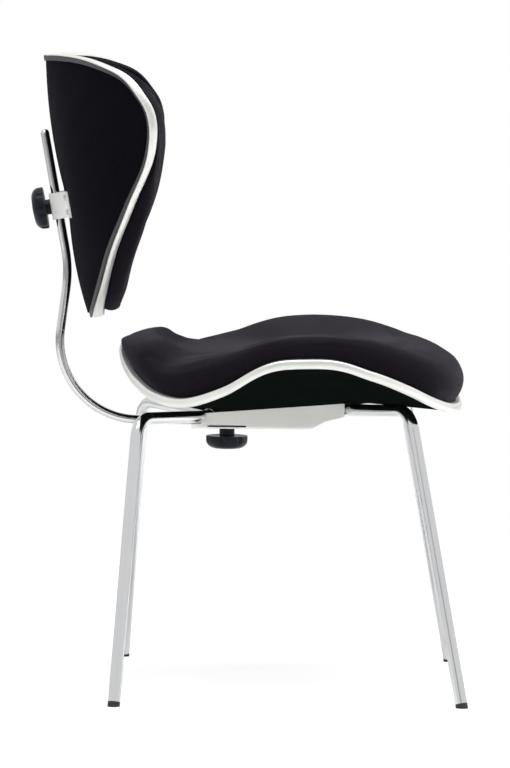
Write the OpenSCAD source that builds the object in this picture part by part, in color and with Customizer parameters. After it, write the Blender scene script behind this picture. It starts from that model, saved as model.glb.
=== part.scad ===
// Upholstered office chair on four tube legs. The backrest rides on a bent bar
// that is clamped in a bracket under the seat. X points forward, Y to the
// sitter's left, Z up, and the floor is at Z = 0.

/* [Seat] */
// Front edge of the seat, ahead of the middle of the chair
seat_front = 271; // [258:1:285]
// Rear edge of the seat, behind the middle of the chair
seat_rear = 160; // [150:1:172]
// Half of the seat's width
seat_half = 229; // [215:1:245]
// Where along the chair the seat is widest
seat_wide_x = 60; // [45:1:75]
// Height of the edge band at the sides, where it is highest
seat_rim_z = 419; // [416:1:430]
// How far the edge band dips from there to the front
seat_wave = 61; // [45:1:62]
// Thickness of the seat shell
seat_shell_t = 8; // [6:0.5:10]
// Height of the mounting boss under the shell
seat_boss = 4; // [3:0.5:6]
// Height of the cushion's side crests
seat_crest_z = 451; // [444:1:462]
// How far the crest falls to its lowest place
seat_crest_fall = 30; // [20:1:34]
// Height of the middle of the seating surface
seat_hollow_z = 422; // [412:1:430]
// Distance from the front edge back to the front crest
seat_roll = 60; // [45:1:70]

/* [Backrest] */
// Reach of the backrest above its widest place
back_top = 102; // [92:1:112]
// Reach of the backrest below its widest place
back_bottom = 232; // [215:1:240]
// Half of the backrest's width
back_half = 204; // [195:1:225]
// Height of the widest place above the clamp
back_wide_t = 86; // [76:1:96]
// How far the wings come forward of the top edge
back_wrap = 118; // [90:1:130]
// Depth of the top edge in front of the bar's middle line
back_edge_n = 21; // [19:1:26]
// Depth of the shell's rear land in front of the bar's middle line
back_land_n = 11; // [10.5:0.1:12]
// Thickness of the backrest shell
back_shell_t = 8; // [6:0.5:10]
// Depth of the cushion's crest at the wings
back_crest_n = 147; // [141:1:155]
// How far the crest falls back to the top edge
back_crest_fall = 101; // [85:1:105]
// Depth of the middle of the cushion
back_hollow_n = 56; // [46:1:60]
// Distance from the edge in to the crest
back_roll = 30; // [24:1:36]

/* [Edge bands] */
// Depth of a silver band, measured in from the edge
band_depth = 7; // [6:0.5:9]
// Height of a silver band
band_h = 11.4; // [10:0.2:13]
// Width of the dark bead between band and cushion
bead_w = 1.4; // [1:0.1:2]
// How far the bead stands proud of the band
bead_h = 1; // [0.6:0.1:1.6]

/* [Legs] */
// Outside diameter of a leg tube
leg_d = 15; // [14:0.5:15]
// Wall of a leg tube
leg_wall = 1.5; // [1:0.1:2]
// Bend radius of a leg on its middle line
leg_bend_r = 28; // [24:1:34]
// Distance of the rear feet behind the middle of the chair
rear_foot_x = 158; // [145:1:170]
// Half of the distance between the rear feet
rear_foot_y = 247; // [230:1:260]
// Distance of the front feet ahead of the middle of the chair
front_foot_x = 266; // [250:1:275]
// Half of the distance between the front feet
front_foot_y = 228; // [215:1:245]
// Distance of the rear knees behind the middle of the chair
rear_knee_x = 133.5; // [125:0.5:140]
// Distance of the front knees ahead of the middle of the chair
front_knee_x = 200; // [190:1:206]
// Half of the distance between a pair of knees
knee_y = 145; // [135:1:152]
// Height of the rear knees
rear_knee_z = 342.5; // [339:0.5:345]
// Height of the front knees
front_knee_z = 355.5; // [354:0.5:357]
// Height of the black plug that shows below a tube
glide_h = 3.2; // [2:0.2:5]

/* [Bracket] */
// Half of the bracket's width
bracket_half = 36; // [34:0.5:37]
// Sheet thickness of the bracket
bracket_t = 2; // [1.5:0.1:2.4]
// Front end of the bracket, ahead of the middle of the chair
bracket_front = 121.5; // [118:0.5:125]
// Rear end of the bracket's cheeks, behind the middle of the chair
bracket_rear = 57.5; // [54:0.5:60]
// Length of the tongue that sticks out behind the cheeks
tongue_l = 12; // [8:0.5:16]
// Height of the bracket's underside above the floor
bracket_z = 322; // [321.8:0.1:322.2]
// Height of the seat's mounting plane at the middle of the chair
deck_z = 345.5; // [345:0.1:347]
// Slope of the seat's mounting plane, nose up
deck_tilt = 4.5; // [4:0.1:5]
// Thickness of the deck plate
deck_t = 3; // [2:0.2:3.4]

/* [Back bar] */
// Thickness of the bar, seen from the side
bar_t = 10.6; // [10:0.1:11]
// Width of the bar, across the chair
bar_w = 20; // [16:0.5:21]
// Height of the bar's middle line under the seat
bar_z = 329.9; // [329.7:0.05:330]
// Radius of the large bend on the middle line
bar_bend_r = 99; // [92:1:106]
// Place of the large bend's end, behind the middle of the chair
bar_bend_x = 136.5; // [132:0.5:142]
// Front end of the bar, ahead of the middle of the chair
bar_front = 50; // [44:1:56]
// Rearward lean of the bar below its neck
bar_lean_low = 7.2; // [6:0.1:9]
// Rearward lean of the bar above its neck
bar_lean = 10.5; // [9:0.1:12]
// Length of the straight between the large bend and the neck
bar_low_l = 53; // [46:1:60]
// Radius of the neck's bend on the middle line
bar_neck_r = 160; // [140:5:180]
// Length of the upper straight, to the tip
bar_up_l = 152; // [146:1:160]

/* [Backrest clamp] */
// Distance along the upper straight from its foot to the clamp
clamp_s = 55; // [52:1:60]
// Height of the folded sleeve
sleeve_h = 33; // [30:1:36]
// Sheet thickness of the sleeve
sleeve_t = 1.8; // [1.4:0.1:2]
// Wall of the plastic liner
liner_t = 1; // [0.8:0.1:1.2]
// Half of the width across the sleeve's flanges
flange_half = 46; // [42:1:50]
// Slope of each flange, following the shell
flange_slope = 7; // [5:0.5:9]

/* [Knobs] */
// Diameter of a knob
knob_d = 52.5; // [46:0.5:58]
// Height of a knob's head
knob_h = 16.5; // [15:0.5:19]
// Diameter of a knob's neck
neck_d = 19; // [16.5:0.5:20]
// Length of the seat knob's neck
seat_neck_l = 11.4; // [9:0.2:13]
// Length of the back knob's neck
back_neck_l = 6.8; // [6.6:0.2:9]
// Diameter of the threaded stud
stud_d = 8; // [6:1:8]
// Diameter of the pressure pad
pad_d = 10; // [9:0.5:11]
// Thickness of the pressure pad
pad_t = 1.2; // [1:0.1:1.3]
// Diameter of the weld nut
nut_d = 13; // [12:0.5:13]
// Height of the weld nut
nut_h = 5; // [4:0.5:5.5]
// Place of the seat knob, behind the middle of the chair
seat_knob_x = 25; // [22:0.5:28]

/* [Fasteners] */
// Diameter of a screw's shank
screw_d = 5; // [4:0.5:6]
// Diameter of a screw's head
screw_head_d = 9; // [8:0.5:10]
// Height of a screw's head
screw_head_h = 2.6; // [2:0.2:3]
// Length of a deck screw's shank above the deck
screw_l = 12; // [8:0.5:12]
// Length of a sleeve screw's shank inside the shell
sleeve_screw_l = 6; // [4:0.5:6]

/* [Hidden] */

// Clearances: between fixed neighbours, round a moving piece, and for a thread
snug = 0.1;
run = 0.3;
thread_gap = 0.05;
// How far a cutting shape runs past the face that it cuts
over = 1;
// A bend is this much thinner than the straights beside it, and runs this far
// into them, so that the two join as one solid
bend_step = 0.02;
bend_lap = 0.2;

// Facets of round exact shapes, and steps round the soft forms
$fn = 64;
steps = 60;
SEAT = 0;
BACK = 1;

// Colours
chrome = "silver";
satin = "gainsboro";
plastic = "#16181d";
cloth = "#1c1a20";

// Shares of a form's own sizes, every 15 degrees from the front or the top
// edge round to the rear or the bottom edge
rim_shares = [
  [1, 0.97, 0.885, 0.79, 0.6, 0.336, 0, 0.566, 0.852, 0.77, 0.49, 0.164, -0.066],
  [0, 0.165, 0.395, 0.61, 0.81, 0.92, 1, 0.9, 0.6, 0.32, 0.145, 0.045, 0.025]
];
crest_shares = [
  [0.78, 0.75, 0.67, 0.54, 0.34, 0.12, 0.05, 0.76, 1.01, 1.09, 0.46, 0.34, 0.33],
  [-0.02, 0.08, 0.287, 0.505, 0.703, 0.871, 1, 0.93, 0.77, 0.525, 0.31, 0.205, 0.16]
];
// How far out from its middle the hollow stays level
level_shares = [
  [0, 0, 0, 0, 0, 0, 0, 0.2, 0.5, 0.62, 0.66, 0.68, 0.68],
  [0, 0, 0, 0, 0, 0, 0, 0, 0, 0, 0, 0, 0]
];
roll_shares = [
  [1, 1, 0.95, 0.83, 0.6, 0.45, 0.38, 0.42, 0.5, 0.57, 0.57, 0.52, 0.47],
  [0.85, 0.85, 0.9, 0.95, 1, 1, 1, 1, 1, 1, 0.95, 0.9, 0.9]
];

// Plan of each form: reach ahead, reach behind, half width, place of the
// widest line, and how square its two ends are
seat_plan = [seat_front - seat_wide_x, seat_rear + seat_wide_x, seat_half, seat_wide_x, 3.4, 3];
back_plan = [back_top, back_bottom, back_half, back_wide_t, 3.3, 1.6];
// Plan of the flat land on the underside or the rear of each shell
land_front = 118;
land_rear = 41;
land_half = bracket_half + 1;
seat_land = [(land_front + land_rear) / 2, (land_front + land_rear) / 2, land_half,
  (land_front - land_rear) / 2, 6, 6];
back_land_h = sleeve_h / 2 + 5;
back_land = [back_land_h, back_land_h, flange_half + 2, 0, 6, 6];

function plan(k) = k == SEAT ? seat_plan : back_plan;
function land(k) = k == SEAT ? seat_land : back_land;
function shell_t(k) = k == SEAT ? seat_shell_t : back_shell_t;
function boss(k) = k == SEAT ? seat_boss : 0;
function sign_power(v, p) = sign(v) * pow(abs(v), p);

// Point at angle a on a plan curve drawn in from its edge by d
function edge_at(p, a, d) =
  let(q = cos(a) >= 0 ? p[4] : p[5], reach = cos(a) >= 0 ? p[0] : p[1])
  [p[3] + (reach - d) * sign_power(cos(a), 2 / q), (p[2] - d) * sign_power(sin(a), 2 / q)];

// Smooth value at angle a from a list of shares, the same on both sides
function share_at(list, a) =
  let(
    last = len(list) - 1, m = a > 180 ? 360 - a : a, u = m / 180 * last,
    i = min(floor(u), last - 1), f = u - i,
    p0 = list[i == 0 ? 1 : i - 1], p1 = list[i], p2 = list[i + 1],
    p3 = list[i + 2 > last ? last - 1 : i + 2]
  )
  p1 + (p2 - p0) * f / 2 + (p0 - 2.5 * p1 + 2 * p2 - p3 / 2) * f * f
  + (1.5 * p1 - p0 / 2 - 1.5 * p2 + p3 / 2) * f * f * f;

// Height of the band's middle line, of the cushion's crest, and the crest's inset
function rim_at(k, a) = k == SEAT
  ? seat_rim_z - seat_wave * share_at(rim_shares[SEAT], a)
  : back_edge_n + back_wrap * share_at(rim_shares[BACK], a);
function crest_at(k, a) = k == SEAT
  ? seat_crest_z - seat_crest_fall * share_at(crest_shares[SEAT], a)
  : back_crest_n - back_crest_fall * (1 - share_at(crest_shares[BACK], a));
function roll_at(k, a) = (k == SEAT ? seat_roll : back_roll) * share_at(roll_shares[k], a);

// Height of the land that the shell is mounted by
function land_at(k, p) = k == SEAT
  ? deck_z + snug + p[0] * tan(deck_tilt)
  : back_land_n + abs(p[1]) * tan(flange_slope);

// Ring of the shell at share s of the way from its land to its edge. The face
// is 0 underneath and 1 on top, and lift raises the ring
shell_rings = [0.07, 0.26, 0.45, 0.63, 0.81, 1];
shell_curve = [1.3, 2.1];
function shell_ring(k, s, face, lift = 0) = [
  for (i = [0:steps - 1])
    let(
      a = i * 360 / steps, p = edge_at(land(k), a, 0),
      e = edge_at(plan(k), a, band_depth), xy = p + (e - p) * s,
      low = land_at(k, p) + (s > 0 || face > 0 ? boss(k) : 0),
      high = rim_at(k, a) - shell_t(k) / 2,
      z = low + (high - low) * pow(s, shell_curve[k]) + face * shell_t(k)
    )
    [xy[0], xy[1], z + lift]
];

// Ring of points on a plan curve, inset by d, at height h over the band's middle
function band_ring(k, d, h) = [
  for (i = [0:steps - 1])
    let(a = i * 360 / steps, p = edge_at(plan(k), a, d))
    [p[0], p[1], rim_at(k, a) + h]
];

// Ring on the cushion's flank at turn f. The flank starts above the bead, at
// minus the turn named here, is widest at 0 and ends at 90 on the crest. Where
// the crest is lower than that, the flank still rises by the puff
flank_under = 35;
flank_puff = 1.5;
flank_inset = 0.5;
cushion_inset = band_depth + bead_w + 3 * snug;
function flank_ring(k, f) = [
  for (i = [0:steps - 1])
    let(
      a = i * 360 / steps, r = roll_at(k, a), crest = crest_at(k, a),
      low = rim_at(k, a) + band_h / 2 + bead_h + 2 * snug, up = max(crest - low, flank_puff),
      wide = max(flank_inset, (cushion_inset - r * (1 - cos(flank_under))) / cos(flank_under)),
      wide_z = low + up * sin(flank_under) / (1 + sin(flank_under)),
      p = edge_at(plan(k), a, wide + (r - wide) * (1 - cos(f))), s = max(0, sin(f))
    )
    [p[0], p[1], wide_z + (low + up - wide_z) * sin(f) - (low + up - crest) * s * s]
];

// Ring at a share of the way from one ring to another
function between(ring_a, ring_b, share) = [
  for (i = [0:steps - 1]) ring_a[i] + (ring_b[i] - ring_a[i]) * share
];

// Ring of the seating surface at share q of the way from its middle to the crest
back_hollow_t = 30;
hollow_x = [seat_wide_x, back_hollow_t];
hollow_z = [seat_hollow_z, back_hollow_n];
function seating_ring(k, q) = [
  for (i = [0:steps - 1])
    let(
      a = i * 360 / steps, p = edge_at(plan(k), a, roll_at(k, a)),
      m = [hollow_x[k], 0], xy = m + (p - m) * q, level = share_at(level_shares[k], a),
      u = max(0, (q - level) / (1 - level))
    )
    [xy[0], xy[1], hollow_z[k] + (crest_at(k, a) - hollow_z[k]) * u * u * (3 - 2 * u)]
];

// Closed skin over rings that run from a lower pole to an upper one. The
// quads before ring number turn are split one way and the rest the other, so
// that two faces that lie on each other have the same triangles
module skin(low_pole, rings, high_pole, turn) {
  n = steps;
  m = len(rings);
  points = concat([low_pole], [for (r = rings) each r], [high_pole]);
  top = len(points) - 1;
  faces = concat(
    [for (j = [0:n - 1]) [0, 1 + j, 1 + (j + 1) % n]],
    [for (i = [0:m - 2], j = [0:n - 1], side = [0, 1])
      let(
        a = 1 + i * n + j, b = 1 + i * n + (j + 1) % n, c = a + n, d = b + n
      )
      i < turn
        ? (side == 0 ? [b, a, d] : [a, c, d])
        : (side == 0 ? [b, a, c] : [b, c, d])],
    [for (j = [0:n - 1]) [top - n + (j + 1) % n, top - n + j, top]]
  );
  polyhedron(points, faces);
}

// Closed loop of a section given as inset and height pairs, from one edge of
// the chair's form all the way round it
module loop(k, section) {
  n = steps;
  m = len(section);
  points = [for (s = section) each band_ring(k, s[0], s[1])];
  faces = [
    for (i = [0:m - 1], j = [0:n - 1], side = [0, 1])
      let(
        a = i * n + j, b = i * n + (j + 1) % n, c = ((i + 1) % m) * n + j,
        d = ((i + 1) % m) * n + (j + 1) % n
      )
      side == 0 ? [b, a, c] : [b, c, d]
  ];
  polyhedron(points, faces);
}

// Frames that follow the clamped bar: the first has X forward and Z up the bar,
// and the second takes a form that is drawn lying down and stands it up
module on_bar() {
  translate([clamp_at[0], 0, clamp_at[1]]) rotate([0, -bar_lean, 0]) children();
}
module stood_up() {
  on_bar() rotate([180, -90, 0]) children();
}

// Bar path: each straight or bend starts where the last one ended
bar_r = bar_t / 2;
bend_turn = 90 + bar_lean_low;
neck_turn = bar_lean_low + bar_lean;
bend_end = [-bar_bend_x - bar_bend_r * cos(bar_lean_low),
  bar_z + bar_bend_r + bar_bend_r * sin(bar_lean_low)];
neck_start = bend_end + bar_low_l * [sin(bar_lean_low), cos(bar_lean_low)];
neck_centre = neck_start + bar_neck_r * [-cos(bar_lean_low), sin(bar_lean_low)];
neck_end = neck_centre + bar_neck_r * [cos(bar_lean), sin(bar_lean)];
clamp_at = neck_end + clamp_s * [-sin(bar_lean), cos(bar_lean)];

// Section of the bar, larger all round by g
module bar_section(g = 0) {
  square([bar_t + 2 * g, bar_w - bar_t], center = true);
  for (y = [-1, 1]) translate([0, y * (bar_w - bar_t) / 2]) circle(r = bar_r + g);
}

// Stretch of the bar, and a bend round a centre from one turn to another. Both
// are drawn in the chair's middle plane
module bar_straight(from, lean, l) {
  translate([from[0], 0, from[1]]) rotate([0, lean, 0]) linear_extrude(l) bar_section();
}
module bend(r, from, turn) {
  lap = bend_lap / r * 180 / PI;
  rotate([0, 0, from - lap]) rotate_extrude(angle = turn + 2 * lap, $fn = 96)
    translate([r, 0]) children();
}
module bar_arc(centre, r, from, turn) {
  translate([centre[0], 0, centre[1]]) rotate([90, 0, 0]) bend(r, from, turn)
    bar_section(-bend_step);
}

module back_bar() {
  color(chrome) {
    bar_straight([bar_front, bar_z], -90, bar_front + bar_bend_x);
    bar_arc([-bar_bend_x, bar_z + bar_bend_r], bar_bend_r, -90 - bend_turn, bend_turn);
    bar_straight(bend_end, bar_lean_low, bar_low_l);
    bar_arc(neck_centre, bar_neck_r, -bar_lean_low, neck_turn);
    bar_straight(neck_end, -bar_lean, bar_up_l - bar_r);
    translate([neck_end[0], 0, neck_end[1]]) rotate([0, -bar_lean, 0])
      translate([0, 0, bar_up_l - bar_r]) {
        rotate([90, 0, 0]) cylinder(r = bar_r, h = bar_w - bar_t, center = true);
        for (y = [-1, 1]) translate([0, y * (bar_w - bar_t) / 2, 0]) sphere(r = bar_r);
      }
  }
}

// Places along the bracket's underside, and the relief in its cheeks
ramp_start = 78.5;
ramp_end = 97.5;
ramp_rise = 10.4;
lip_rise = 16.6;
tongue_h = 6;
cheek_round = 3;
relief_front = 2;
relief_rear = 48;
relief_h = 2.4;

// Legs: each is a straight from the foot, a bend at the knee and a straight
// into the bracket, drawn in its own plane
rear_root_x = 8.5;
rear_root_y = 20;
rear_root_z = 12;
front_root_x = 6;
front_root_y = 10;
front_root_z = 4.5;
rear_root = [rear_root_x - bracket_rear, rear_root_y, bracket_z + bracket_t + rear_root_z];
front_root = [bracket_front - front_root_x, front_root_y,
  bracket_z + lip_rise + bracket_t + front_root_z];
leg_fit = leg_d + 2 * snug;

function foot_of(rear) = rear ? [-rear_foot_x, rear_foot_y, 0] : [front_foot_x, front_foot_y, 0];
function knee_of(rear) = rear ? [-rear_knee_x, knee_y, rear_knee_z] : [front_knee_x, knee_y, front_knee_z];
function root_of(rear) = rear ? rear_root : front_root;
function unit(v) = v / norm(v);

// Turn of the knee, and the length that the bend takes from each straight
function knee_turn(rear) =
  let(knee = knee_of(rear))
  round(10 * (180 - acos(unit(foot_of(rear) - knee) * unit(root_of(rear) - knee)))) / 10;
function tangent_l(rear) = leg_bend_r * tan(knee_turn(rear) / 2);
function leg_splay(rear) = acos(knee_of(rear)[2] / norm(foot_of(rear) - knee_of(rear)));
// Distance along the leg from the floor to the tube's cut end
function cut_back(rear) = glide_h + leg_d / 2 * tan(leg_splay(rear));
function leg_l(rear) = norm(foot_of(rear) - knee_of(rear)) - tangent_l(rear) - cut_back(rear);
function arm_l(rear) = norm(root_of(rear) - knee_of(rear)) - tangent_l(rear);

// Frames of a leg: at the centre of its bend, at the leg's cut end pointing
// down, and at the arm's start pointing into the bracket
module at_knee(rear) {
  knee = knee_of(rear);
  down = unit(foot_of(rear) - knee);
  across = unit(cross(down, root_of(rear) - knee));
  inward = cross(across, down);
  centre = knee + tangent_l(rear) * down + leg_bend_r * inward;
  multmatrix([
    [-inward[0], -down[0], -across[0], centre[0]],
    [-inward[1], -down[1], -across[1], centre[1]],
    [-inward[2], -down[2], -across[2], centre[2]],
    [0, 0, 0, 1]
  ]) children();
}
module at_foot(rear) {
  at_knee(rear) translate([leg_bend_r, -leg_l(rear), 0]) rotate([90, 0, 0]) children();
}
module at_arm(rear) {
  at_knee(rear) rotate([0, 0, knee_turn(rear)]) translate([leg_bend_r, 0, 0])
    rotate([-90, 0, 0]) children();
}

module tube_section(g = 0) {
  difference() {
    circle(d = leg_d + 2 * g);
    circle(d = leg_d - 2 * leg_wall - 2 * g);
  }
}
module leg(rear) {
  color(chrome) {
    at_foot(rear) mirror([0, 0, 1]) linear_extrude(leg_l(rear)) tube_section();
    at_knee(rear) bend(leg_bend_r, 0, knee_turn(rear)) tube_section(-bend_step);
    at_arm(rear) linear_extrude(arm_l(rear)) tube_section();
  }
}
// The leg's arm as a solid bar, to cut its seat in the bracket
module arm_cut(rear) {
  at_arm(rear) cylinder(d = leg_fit, h = arm_l(rear) + leg_d);
}
module glide(rear) {
  plug_l = leg_d;
  color(plastic) intersection() {
    at_foot(rear) {
      translate([0, 0, snug]) cylinder(d = leg_d, h = cut_back(rear) + leg_d / 2);
      translate([0, 0, -plug_l]) cylinder(d = leg_d - 2 * leg_wall - 2 * snug, h = plug_l + leg_d / 2);
    }
    translate([-seat_front * 2, -seat_half * 2, 0])
      cube([seat_front * 4, seat_half * 4, rear_knee_z]);
  }
}

// Draws a side view in X and Z, and gives it a width across the chair
module across(w) {
  rotate([90, 0, 0]) linear_extrude(w, center = true) children();
}

// Bracket: a channel with a ramp and a lip ahead, and a tongue behind
function deck_at(x) = deck_z + x * tan(deck_tilt);
pad_bore_d = pad_d + 2 * run;

module seat_bracket() {
  back = bracket_rear + tongue_l;
  floor_z = bracket_z + bracket_t;
  color(satin) difference() {
    intersection() {
      across(2 * bracket_half) polygon([
        [-back, bracket_z], [ramp_start, bracket_z], [ramp_end, bracket_z + ramp_rise],
        [bracket_front, bracket_z + lip_rise], [bracket_front, deck_at(bracket_front)],
        [-bracket_rear, deck_at(-bracket_rear)], [-bracket_rear, bracket_z + tongue_h],
        [-back, bracket_z + tongue_h]
      ]);
      translate([-back - over, 0, bracket_z]) rotate([90, 0, 90])
        linear_extrude(back + bracket_front + 2 * over) {
          translate([-bracket_half, cheek_round]) square([2 * bracket_half, bracket_z]);
          translate([cheek_round - bracket_half, 0])
            square([2 * (bracket_half - cheek_round), bracket_z]);
          for (y = [-1, 1]) translate([y * (bracket_half - cheek_round), cheek_round])
            circle(r = cheek_round);
        }
    }
    across(2 * (bracket_half - bracket_t)) polygon([
      [-back - over, floor_z], [ramp_start, floor_z], [ramp_end, floor_z + ramp_rise],
      [bracket_front + over, floor_z + lip_rise], [bracket_front + over, deck_at(ramp_end) * 2],
      [-back - over, deck_at(ramp_end) * 2]
    ]);
    translate([-seat_knob_x, 0, bracket_z - over]) cylinder(d = pad_bore_d, h = bracket_t + 2 * over);
    across(2 * (bracket_half + over)) {
      translate([-relief_rear, floor_z]) square([relief_rear - relief_front, relief_h]);
      for (x = [-relief_rear, -relief_front])
        translate([x, floor_z + relief_h / 2]) circle(d = relief_h);
    }
    for (side = [0, 1]) mirror([0, side, 0]) {
      arm_cut(true);
      arm_cut(false);
    }
  }
}

deck_front = 100;
deck_rear = land_rear;
deck_half = bracket_half - bracket_t - snug;
deck_screw_x = [-22, 86];
deck_screw_y = 25;
module on_deck(x, y) {
  translate([x, y, deck_at(x)]) rotate([0, -deck_tilt, 0]) children();
}
module at_deck_screws() {
  for (x = deck_screw_x, side = [-1, 1]) on_deck(x, side * deck_screw_y) children();
}
module bracket_deck() {
  color(satin) difference() {
    across(2 * deck_half) polygon([
      [-deck_rear, deck_at(-deck_rear)], [-deck_rear, deck_at(-deck_rear) - deck_t],
      [deck_front, deck_at(deck_front) - deck_t], [deck_front, deck_at(deck_front)]
    ]);
    at_deck_screws() translate([0, 0, -2 * deck_t]) cylinder(d = screw_d + 2 * snug, h = 3 * deck_t);
  }
}
module screw(l) {
  cylinder(d = screw_d, h = l);
  difference() {
    translate([0, 0, -screw_head_h]) cylinder(d1 = 0.7 * screw_head_d, d2 = screw_head_d, h = screw_head_h);
    translate([0, 0, -screw_head_h - over])
      cylinder(d = screw_d / 2, h = over + screw_head_h / 2, $fn = 6);
  }
}
module deck_screws() {
  color(chrome) at_deck_screws() translate([0, 0, -deck_t]) screw(deck_t + screw_l);
}

guide_front = 40;
guide_rear = 32;
guide_half = bar_w / 2 + 4.5;
module bar_guide() {
  foot_z = bar_z - bar_r + over;
  color("dimgray") difference() {
    across(2 * guide_half) polygon([
      [-guide_rear, foot_z], [guide_front, foot_z],
      [guide_front, deck_at(guide_front) - deck_t - snug],
      [-guide_rear, deck_at(-guide_rear) - deck_t - snug]
    ]);
    translate([-guide_rear - over, 0, bar_z]) rotate([0, 90, 0])
      linear_extrude(guide_front + guide_rear + 2 * over) {
        bar_section(run);
        translate([0, -bar_w / 2 - run]) square([bar_t, bar_w + 2 * run]);
      }
  }
}

// Clamps: the axis starts on the bar's face and runs outward, through the wall
// that holds the nut
function wall_out(k) = k == SEAT ? bar_z - bar_r - bracket_z : run + liner_t + snug + sleeve_t;
function neck_l(k) = k == SEAT ? seat_neck_l : back_neck_l;
nut_recess = 0.8;
stud_into_knob = 9;
module on_clamp(k) {
  if (k == SEAT) translate([-seat_knob_x, 0, bar_z - bar_r]) rotate([180, 0, 0]) children();
  else on_bar() translate([-bar_r, 0, 0]) rotate([0, -90, 0]) children();
}
module clamp_pad(k) {
  color("goldenrod") on_clamp(k) translate([0, 0, run]) cylinder(d = pad_d, h = pad_t);
}
module clamp_nut(k) {
  color("darkgray") on_clamp(k) translate([0, 0, wall_out(k) + snug]) difference() {
    cylinder(d = nut_d, h = nut_h);
    translate([0, 0, -over]) cylinder(d = stud_d + 2 * thread_gap, h = nut_h + 2 * over);
    translate([0, 0, -over]) cylinder(d = pad_bore_d, h = nut_recess + over);
  }
}
module knob_stud(k) {
  color("darkgray") on_clamp(k) translate([0, 0, run + pad_t + snug])
    cylinder(d = stud_d, h = wall_out(k) + run + neck_l(k) + stud_into_knob - run - pad_t - snug);
}

// Knob: a neck over the nut, then a head with a rounded base and finger scallops
scallops = 7;
scallop_d = 18;
scallop_depth = 1.4;
knob_edge = 1.2;
knob_rim_h = 5;
knob_base_share = 0.52;
module knob(k) {
  r = knob_d / 2;
  l = neck_l(k);
  base_r = r * knob_base_share;
  drop = knob_h - knob_rim_h;
  color(plastic) on_clamp(k) translate([0, 0, wall_out(k) + run]) difference() {
    union() {
      cylinder(d = neck_d, h = l + over);
      translate([0, 0, l]) difference() {
        rotate_extrude($fn = 96) polygon(concat(
          [[0, 0], [neck_d / 2, 0], [r - knob_edge, -knob_edge / 2], [r, 0], [r, knob_rim_h]],
          [for (a = [15:15:90]) [base_r + (r - base_r) * cos(a), knob_rim_h + (drop - over) * sin(a)]],
          [[0, knob_h]]
        ));
        for (i = [0:scallops - 1]) rotate([0, 0, i * 360 / scallops])
          translate([r + scallop_d / 2 - scallop_depth, 0, -knob_h])
            cylinder(d = scallop_d, h = 3 * knob_h);
      }
    }
    translate([0, 0, -over]) cylinder(d = nut_d + 2 * run, h = over + nut_h + snug + run);
    cylinder(d = stud_d + 2 * snug, h = l + stud_into_knob + snug);
  }
}

// Sleeve: its section is given for one side, in depth ahead of the bar and
// distance across
arm_in = bar_w / 2 + run + liner_t + snug;
arm_out = arm_in + sleeve_t;
web_out = bar_r + run + liner_t + snug + sleeve_t;
function land_n(y) = land_at(BACK, [0, y]) - snug;
sleeve_side = [
  [-web_out + sleeve_t, arm_in], [land_n(arm_in), arm_in], [land_n(flange_half), flange_half],
  [land_n(flange_half) - sleeve_t, flange_half], [land_n(arm_out) - sleeve_t, arm_out],
  [-web_out + sleeve_t / 2, arm_out], [-web_out, arm_out - sleeve_t / 2]
];
flange_screw_y = 32;
flange_screw_t = 9;
module at_sleeve_screws() {
  for (side = [-1, 1], up = [-1, 1])
    on_bar() translate([land_n(flange_screw_y), side * flange_screw_y, up * flange_screw_t])
      rotate([0, 0, -side * flange_slope]) rotate([0, -90, 0]) children();
}
module back_sleeve() {
  color(satin) difference() {
    on_bar() translate([0, 0, -sleeve_h / 2]) linear_extrude(sleeve_h) polygon(concat(
      sleeve_side, [for (i = [len(sleeve_side) - 1:-1:0]) [sleeve_side[i][0], -sleeve_side[i][1]]]
    ));
    on_clamp(BACK) translate([0, 0, run]) cylinder(d = pad_bore_d, h = wall_out(BACK) + over);
    at_sleeve_screws() translate([0, 0, -over]) cylinder(d = screw_d + 2 * snug, h = 2 * over + 2 * sleeve_t);
  }
}
module sleeve_liner() {
  color("dimgray") difference() {
    on_bar() translate([0, 0, -sleeve_h / 2]) linear_extrude(sleeve_h) difference() {
      translate([-web_out + sleeve_t + snug, -arm_in + snug])
        square([web_out - sleeve_t - snug + back_land_n - snug, 2 * (arm_in - snug)]);
      bar_section(run);
    }
    on_clamp(BACK) cylinder(d = pad_bore_d, h = wall_out(BACK));
  }
}
module sleeve_screws() {
  color(chrome) at_sleeve_screws() translate([0, 0, sleeve_t]) mirror([0, 0, 1])
    screw(sleeve_t + sleeve_screw_l);
}

// Upholstered forms: shells, bands, beads and cushions
flank_turns = [-flank_under, -10, 15, 40, 65, 90];
seating_shares = [0.85, 0.68, 0.5, 0.3];
cushion_end_share = 0.925;
function land_mid(k) = [land(k)[3], 0];
module shell(k) {
  mid = land_mid(k);
  low = land_at(k, mid);
  skin(
    [mid[0], 0, low],
    concat(
      [shell_ring(k, 0, 0)], [for (s = shell_rings) shell_ring(k, s, 0)],
      [for (i = [len(shell_rings) - 1:-1:0]) shell_ring(k, shell_rings[i], 1)], [shell_ring(k, 0, 1)]
    ),
    [mid[0], 0, low + boss(k) + shell_t(k)],
    len(shell_rings) + 1
  );
}
module cushion(k) {
  mid = land_mid(k);
  lift = 2 * snug;
  last = len(shell_rings) - 1;
  skin(
    [mid[0], 0, land_at(k, mid) + boss(k) + shell_t(k) + lift],
    concat(
      [shell_ring(k, 0, 1, lift)], [for (i = [0:last - 1]) shell_ring(k, shell_rings[i], 1, lift)],
      [between(shell_ring(k, shell_rings[last - 1], 1, lift), shell_ring(k, 1, 1, lift), cushion_end_share)],
      [for (f = flank_turns) flank_ring(k, f)], [for (q = seating_shares) seating_ring(k, q)]
    ),
    [hollow_x[k], 0, hollow_z[k]],
    len(shell_rings) + 1
  );
}
band_round = 2.4;
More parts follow.
